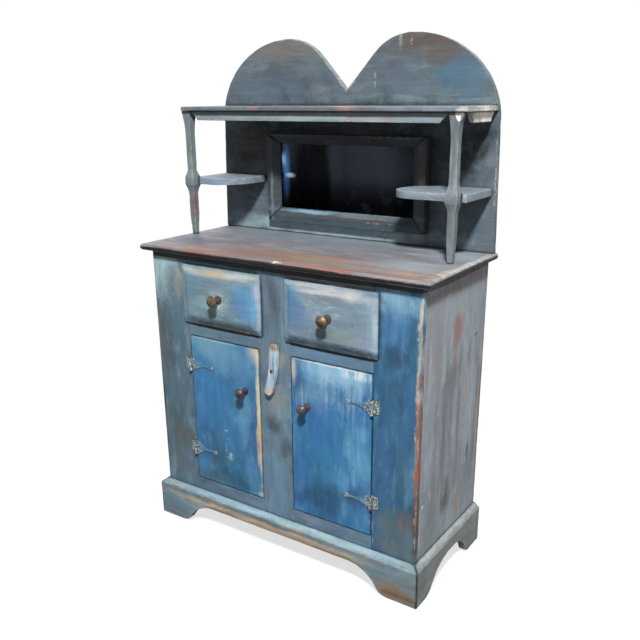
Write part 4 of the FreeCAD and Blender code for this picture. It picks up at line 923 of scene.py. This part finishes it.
# The back board's tones are in part painted shade, darker under the top shelf than the slate paint alone.
board_paint = old_paint(
    "board_paint", ((70, 80, 88), (86, 98, 106), (106, 118, 124)), "X",
    face=("Y", BOARD, 12), seed=15.0, reach=-0.2, ragged=5.0,
    marks=[
        ("wash", (110, 104, 100), (-223, 1385), (160, 44), 0.8),
        ("wash", (82, 71, 62), (250, 1375), (150, 50), 0.95),
        ("wash", (64, 92, 114), (334, 1300), (70, 50), 0.8),
        ("wash", (78, 94, 110), (-281, 1270), (130, 44), 0.6),
        ("wash", (78, 94, 112), (165, 1304), (60, 40), 0.5),
        ("dry", (104, 126, 130), (220, 1245), (200, 14), 0.7),
        ("wash", (96, 110, 118), (0, 1240), (160, 24), 0.6),
        ("dry", (150, 150, 144), (163, 1385), (5, 24), 0.7),
        ("dry", (158, 164, 164), (90, 1293), (4, 26), 0.7),
        ("dry", (146, 150, 148), (196, 1380), (4, 16), 0.6),
        # The next two marks are a painted shadow of the top shelf on the back board.
        ("wash", (14, 16, 19), (-20, 1118), (520, 124), 0.92),
        ("wash", (10, 11, 13), (-40, 1118), (480, 62), 0.8),
        # Painted light where the shelf's shadow ends at the right.
        ("wash", (94, 106, 114), (436, 1078), (46, 76), 0.9),
        # Painted light along the bottom of the board, below the shelf's shadow.
        ("wash", (156, 176, 182), (-60, 884), (420, 26), 0.95),
    ],
)
worn("back_board", "cabinet", board_paint)
shelf_paint = old_paint(
    "shelf_paint", ((92, 104, 110), (112, 124, 131), (134, 144, 150)), "X",
    seed=16.0, reach=0.1, ragged=5.0,
    marks=[
        ("wash", (94, 92, 98), (-40, -3, 1221), (460, 6, 10), 0.85),
        ("wash", (146, 158, 163), (0, 11, 1202), (440, 10, 12), 0.8),
        ("wash", (160, 122, 116), (117, -3, 1227), (30, 20, 10), 0.9),
        ("wash", (158, 116, 110), (-180, -3, 1226), (22, 20, 8), 0.8),
        ("wash", (164, 110, 104), (123, 11, 1203), (16, 30, 7), 0.85),
        ("wash", (160, 124, 116), (222, 11, 1203), (14, 30, 6), 0.8),
        # Painted light on the outer side of the right apron.
        ("wash", (250, 242, 232), (432, 110, 1202), (30, 110, 30), 1.0),
        ("dry", (192, 186, 174), (438, 30, 1222), (20, 80, 8), 0.8),
    ],
)
for node in ("top_shelf", "shelf_apron_front", "shelf_apron_left", "shelf_apron_right"):
    worn(node, "cabinet", shelf_paint, soft=1.2, knocks=1.0)

# %% Posts and corner shelves
post_paint = old_paint(
    "post_paint", ((90, 98, 100), (110, 120, 123), (134, 144, 147)), "Z",
    seed=17.0, reach=-0.7, ragged=4.0,
    marks=[
        ("wash", (118, 84, 90), (-424, 4, 952), (20, 30, 30), 0.9),
        ("chips", (116, 86, 88), (-424, 4, 915), (20, 30, 20), 0.8),
        # A painted highlight at the top of the right post.
        ("patch", (244, 246, 242), (417, 2, 1211), (8.5, 30, 16), 1.0),
        ("dry", (160, 166, 168), (407, 4, 1100), (20, 20, 80), 0.5),
        ("dry", (100, 108, 110), (407, 4, 930), (20, 20, 60), 0.25),
    ],
)
corner_paint = old_paint(
    "corner_paint", ((108, 118, 126), (124, 135, 144), (150, 162, 172)), "X",
    seed=18.0, reach=-0.4, ragged=4.0,
    undercoat=(164, 178, 196),
    marks=[
        ("wash", (126, 152, 186), (-350, 30, 1012), (70, 20, 12), 0.6),
        ("wash", (90, 96, 100), (340, 26, 1010), (110, 24, 8), 0.6),
        ("wash", (112, 122, 130), (350, 110, 1027), (90, 90, 12), 0.7),
    ],
)
for side in ("left", "right"):
    worn(f"post_{side}", "cabinet", post_paint, soft=1.4, step=9.0, wobble=0.4)
    worn(f"corner_shelf_{side}", "cabinet", corner_paint, soft=2.2, step=12.0)

# %% Mirror frame
# The frame's dark tones are in part painted shade under the top shelf.
frame_paint = old_paint(
    "mirror_frame_paint", ((46, 51, 55), (58, 65, 70), (76, 84, 90)), "X",
    seed=19.0, reach=-1.4, ragged=4.0,
    undercoat=(120, 124, 122),
    marks=[
        # The next two marks are painted light on the bottom rail's upper bevel, below the shelf's shadow.
        ("wash", (88, 110, 124), (20, 170, 936), (300, 30, 8), 0.9),
        ("wash", (134, 162, 180), (-120, 166, 930), (120, 30, 5), 0.7),
        ("wash", (120, 112, 104), (70, 166, 926), (90, 30, 4), 0.6),
        ("wash", (60, 84, 92), (0, 164, 902), (270, 8, 10), 0.8),
        ("wash", (118, 128, 134), (-246, 163, 990), (5, 10, 90), 0.8),
        ("wash", (96, 72, 58), (250, 164, 1060), (12, 10, 60), 0.6),
    ],
)
for side in ("bottom", "top", "left", "right"):
    rail = f"mirror_rail_{side}"
    worn(rail, "cabinet", frame_paint, soft=1.0, step=10.0, wobble=0.3, knocks=0.8)


# %% [markdown]
# ## Metal, glass and turned wood
# The knobs, the hinges, the button's screw and the glass are true in the CAD model. They could be
# modelled again, but nothing would be gained, so their meshes stay and only their finish is made
# here. Old brass is brown where it is not touched and brighter where it is. The mirror's silver has
# darkened with age, so it reflects little, and a few streaks of blue and grey on it are painted
# reflections.

# %% Dress a CAD node
def dress(node, finish):
    """Gives a CAD node its finish."""
    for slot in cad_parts[node].material_slots:
        slot.material = finish


# %% Brass, dark wood and iron
def mottled(name, dark, light, scale, rough, metal=0.0, bump=0.3, seed=0.0):
    """Makes a finish of two tones in fine clouds."""
    material, tree, shader, place = blank_material(name)
    broad = cloud(tree, place, scale, detail=6.0, roughness=0.65, seed=seed)
    fine = cloud(tree, place, scale * 6, roughness=0.6, seed=seed + 3)
    colour = blend(tree, tone(*dark), tone(*light), band(tree, broad, 0.38, 0.62))
    tree.links.new(colour, shader.inputs["Base Color"])
    shader.inputs["Metallic"].default_value = metal
    tree.links.new(band(tree, broad, 0.3, 0.7, *rough), shader.inputs["Roughness"])
    height = sum_of(tree, broad, sum_of(tree, fine, 0.5, "MULTIPLY"))
    raise_surface(tree, shader, height, bump)
    return material


brass = mottled("old_brass", (48, 41, 32), (108, 93, 68), 60.0, metal=0.45, rough=(0.65, 0.45), seed=1.0)
dark_wood = mottled("dark_turned_wood", (40, 32, 32), (78, 62, 64), 55.0, rough=(0.45, 0.3), seed=2.0)
HINGE_LINE = 0.302
CREAM_CHIPS = (198, 198, 184)
RUST = (50, 48, 42)


def hinge_finish(name, paint, seed):
    """Makes iron under the doors' paint, chipped to cream and rust near the knuckles and the tip."""
    material, tree, shader, place = blank_material(name)
    broad = cloud(tree, place, 40.0, detail=5.0, roughness=0.65, seed=seed)
    chips = cloud(tree, place, 190.0, roughness=0.75, seed=seed + 4)
    rust = cloud(tree, place, 210.0, detail=3.0, roughness=0.6, seed=seed + 8)
    across = put(tree, "SeparateXYZ", {0: place}).outputs[0]
    from_line = sum_of(tree, HINGE_LINE, sum_of(tree, across, 0.0, "ABSOLUTE"), "SUBTRACT")
    near_line = band(tree, from_line, 0.004, 0.034, 1.0, 0.0)
    near_tip = band(tree, from_line, 0.060, 0.074, 0.0, 0.9)
    share = sum_of(tree, near_line, near_tip, "MAXIMUM")
    gate = band(tree, sum_of(tree, chips, sum_of(tree, share, 0.13, "MULTIPLY")), 0.56, 0.70, 0.0, 0.8)
    rusty = band(tree, sum_of(tree, rust, sum_of(tree, share, 0.08, "MULTIPLY")), 0.60, 0.66, 0.0, 0.9)
    coat = blend(tree, tone(*(step * 0.8 for step in paint)), tone(*paint), band(tree, broad, 0.35, 0.6))
    coat = blend(tree, coat, tone(*CREAM_CHIPS), gate)
    coat = blend(tree, coat, tone(*RUST), rusty)
    tree.links.new(coat, shader.inputs["Base Color"])
    tree.links.new(band(tree, broad, 0.3, 0.7, 0.62, 0.48), shader.inputs["Roughness"])
    height = sum_of(tree, gate, sum_of(tree, broad, rusty, "SUBTRACT"))
    raise_surface(tree, shader, height, 0.6)
    return material


strap_finish = hinge_finish("painted_strap", (88, 132, 162), 3.0)
leaf_finish = hinge_finish("painted_leaf", (104, 124, 134), 5.0)
iron = mottled(
    "rusty_iron", (52, 44, 40), (104, 84, 68), 90.0, metal=0.5, rough=(0.75, 0.5), bump=0.5, seed=4.0
)
for side in ("left", "right"):
    dress(f"drawer_{side}_knob", brass)
    dress(f"door_{side}_knob", dark_wood)
    dress(f"hinge_leaves_{side}", leaf_finish)
    dress(f"hinge_straps_{side}", strap_finish)
    dress(f"hinge_pins_{side}", iron)
dress("button_screw", iron)
dress("button_washer", iron)

# %% Mirror glass
GLASS = 181
SILVER_DARK = (13, 14, 17)
SILVER_LIGHT = (36, 39, 46)
SILVER_SPOTS = (8, 8, 9)
# Painted reflections on the glass: dark and blue streaks at the left, pale spots, a lighter right part.
PAINTED_REFLECTIONS = (
    ((8, 9, 12), (-150, GLASS, 1030), (34, 60, 120), 0.9),
    ((58, 92, 142), (-205, GLASS, 1045), (13, 60, 74), 0.95),
    ((112, 150, 190), (-212, GLASS, 1075), (8, 60, 20), 0.8),
    ((150, 176, 196), (-192, GLASS, 1031), (17, 60, 7), 0.9),
    ((42, 46, 54), (140, GLASS, 1030), (90, 60, 120), 0.6),
)
glass_low, glass_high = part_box("mirror_glass")
silver, silver_tree, silver_shader, silver_place = blank_material("old_mirror")
foxing = cloud(silver_tree, silver_place, 22.0, detail=8.0, roughness=0.75, seed=2.0)
clouding = cloud(silver_tree, silver_place, 9.0, (1, 1, 0.15), detail=3.0, seed=6.0)
dusk = band(silver_tree, clouding, 0.40, 0.62)
silver_colour = blend(silver_tree, tone(*SILVER_DARK), tone(*SILVER_LIGHT), dusk)
spots = band(silver_tree, foxing, 0.60, 0.72)
silver_colour = blend(silver_tree, silver_colour, tone(*SILVER_SPOTS), spots)
ripple = restless(silver_tree, silver_place, 12.0, 1.2)
for colour, centre, radius, strength in PAINTED_REFLECTIONS:
    oval = mark_mask(silver_tree, silver_place, ripple, centre, radius, RIMS["wash"])
    share = sum_of(silver_tree, oval, strength, "MULTIPLY")
    silver_colour = blend(silver_tree, silver_colour, tone(*colour), share)
silver_tree.links.new(silver_colour, silver_shader.inputs["Base Color"])
silver_shader.inputs["Metallic"].default_value = 1.0
silver_tree.links.new(band(silver_tree, foxing, 0.5, 0.7, 0.08, 0.3), silver_shader.inputs["Roughness"])
dress("mirror_glass", silver)
print("glass", [round(value / MM) for value in (glass_high - glass_low)])

# %% [markdown]
# ## Nails and screws
# The case is nailed together and the hinges are screwed on. A nail head is a low cone, sunk almost
# flush and painted over. A screw head is the same cone with a slot: two cuts across it mark a
# narrow strip, and the strip is pushed down. A rounder head would look better very close by, but
# there are many, so each has a few dozen faces at most.

# %% Heads of nails and screws
HEAD_DEPTH = 1.4
HEAD_PROUD = 0.35
HEAD_SIDES = 10
HEAD_TAPER = 0.74
SLOT_HALF = 0.4
SLOT_DEPTH = 0.5
SCREW_RADIUS = 2.6
NAIL_RADIUS = 1.9
WORKTOP_NAIL_RADIUS = 2.2
chance = random.Random(7)
nail_iron = mottled(
    "old_nails", (48, 46, 44), (104, 112, 114), 120.0, rough=(0.75, 0.5), bump=0.4, seed=9.0
)


def add_head(shape, place, outward, radius, slotted):
    """Adds one head to a mesh: a low cone that faces outward, with or without a slot."""
    head = bmesh.new()
    bmesh.ops.create_cone(
        head,
        cap_ends=True,
        segments=HEAD_SIDES,
        radius1=radius,
        radius2=radius * HEAD_TAPER,
        depth=HEAD_DEPTH,
    )
    if slotted:
        for side in (-SLOT_HALF, SLOT_HALF):
            geometry = [*head.verts, *head.edges, *head.faces]
            cut = (side, 0, 0)
            bmesh.ops.bisect_plane(head, geom=geometry, plane_co=cut, plane_no=(1, 0, 0), dist=1e-5)
        upward = [face for face in head.faces if face.normal.z > 0.9]
        strip = [face for face in upward if abs(face.calc_center_median().x) < SLOT_HALF]
        pushed = bmesh.ops.extrude_face_region(head, geom=strip)["geom"]
        sunk = [item for item in pushed if isinstance(item, bmesh.types.BMVert)]
        bmesh.ops.translate(head, vec=(0, 0, -SLOT_DEPTH), verts=sunk)
        bmesh.ops.delete(head, geom=strip, context="FACES_ONLY")
    bmesh.ops.recalc_face_normals(head, faces=head.faces)
    spin = Matrix.Rotation(chance.uniform(0, math.pi), 4, "Z")
    lift = Matrix.Translation((0, 0, HEAD_PROUD - HEAD_DEPTH / 2))
    aim = Vector(outward).to_track_quat("Z", "Y").to_matrix().to_4x4()
    set_down = Matrix.Translation(Vector(place) * MM) @ aim @ Matrix.Scale(MM, 4) @ lift @ spin
    bmesh.ops.transform(head, matrix=set_down, verts=head.verts)
    one = bpy.data.meshes.new("one_head")
    head.to_mesh(one)
    head.free()
    shape.from_mesh(one)
    bpy.data.meshes.remove(one)


def heads(name, body, places, outward, radius, slotted=False):
    """Makes one piece of many heads, at places in millimetres."""
    shape = bmesh.new()
    for place in places:
        add_head(shape, place, outward, radius, slotted)
    as_piece(name, shape, nail_iron, body)
    print(name, len(places), "heads")


# %% Hinge screws
AHEAD = (0, -1, 0)
SIDES = (("left", -1), ("right", 1))
PLATE = 2
HINGES = (522, 257)
LEAF_ACROSS = 314
LEAF_ROWS = (-12, 12)
STRAP_ACROSS = 292
STRAP_ROWS = (-11, 11)
STRAP_TAIL = (264, 227)
for side, way in SIDES:
    places = [(way * LEAF_ACROSS, FRONT - PLATE, hinge + up) for hinge in HINGES for up in LEAF_ROWS]
    heads(f"leaf_screws_{side}", "cabinet", places, AHEAD, SCREW_RADIUS, slotted=True)
    places = [(way * STRAP_ACROSS, DOOR - PLATE, hinge + up) for hinge in HINGES for up in STRAP_ROWS]
    places += [(way * across, DOOR - PLATE, hinge) for hinge in HINGES for across in STRAP_TAIL]
    heads(f"strap_screws_{side}", f"door_{side}", places, AHEAD, SCREW_RADIUS, slotted=True)

# %% Nails in the case and the doors
DOOR_NAILS = (80, 140, 200)
BATTENS = (234, 533)
BATTEN_ROWS = [batten + up for batten in BATTENS for up in (-15, 14)]
STILE_ACROSS = 421
STILE_ROWS = range(150, 830, 112)
FOOT_ACROSS = 440
FOOT_ROWS = (34, 66, 94)
SIDE_NAILS = (-135, 197)
SIDE_ROWS = range(170, 830, 128)
TOP_NAILS = (-372, -186, 4, 190, 368)
TOP_ROW = -150
for side, way in SIDES:
    places = [(way * across, DOOR, row) for across in DOOR_NAILS for row in BATTEN_ROWS]
    heads(f"door_nails_{side}", f"door_{side}", places, AHEAD, NAIL_RADIUS)
    places = [(way * STILE_ACROSS, FRONT, row) for row in STILE_ROWS]
    places += [(way * FOOT_ACROSS, BASE, row) for row in FOOT_ROWS]
    heads(f"front_nails_{side}", "cabinet", places, AHEAD, NAIL_RADIUS)
    places = [(way * SIDE, back, row) for back in SIDE_NAILS for row in SIDE_ROWS]
    heads(f"side_nails_{side}", "cabinet", places, (way, 0, 0), NAIL_RADIUS)
places = [(across, TOP_ROW, TOP) for across in TOP_NAILS]
heads("worktop_nails", "cabinet", places, (0, 0, 1), WORKTOP_NAIL_RADIUS)

# %% [markdown]
# ## Unpainted boards inside
# Behind the doors and drawers the pine was left bare and has gone brown. Each board's grain runs
# along its length, so there is one pine for each direction. The four planks of the back are one
# piece, and a random tone for each plank's width keeps them apart.

# %% Bare boards
PLANK_WIDTH = 0.2055
pine_across = pine("pine_across", "X", seed=1.0)
pine_up = pine("pine_up", "Z", seed=2.0)
pine_back = pine("pine_back", "Y", seed=3.0)
for node in ("cupboard_floor", "cupboard_shelf", "drawer_deck", "mirror_backing"):
    dress(node, pine_across)
dress("corner_blocks", pine_up)
pine_planks = pine("pine_planks", "Z", seed=6.0, plank=PLANK_WIDTH)
worn("back_planks", "cabinet", pine_planks, soft=1.0, step=40.0)
for node in ("shelf_cleats", "drawer_guides", "drawer_kickers"):
    dress(node, pine_back)
for side in ("left", "right"):
    dress(f"door_{side}_battens", pine_across)
    dress(f"drawer_{side}_sides", pine_back)
    dress(f"drawer_{side}_back", pine_across)
    dress(f"drawer_{side}_bottom", pine_across)
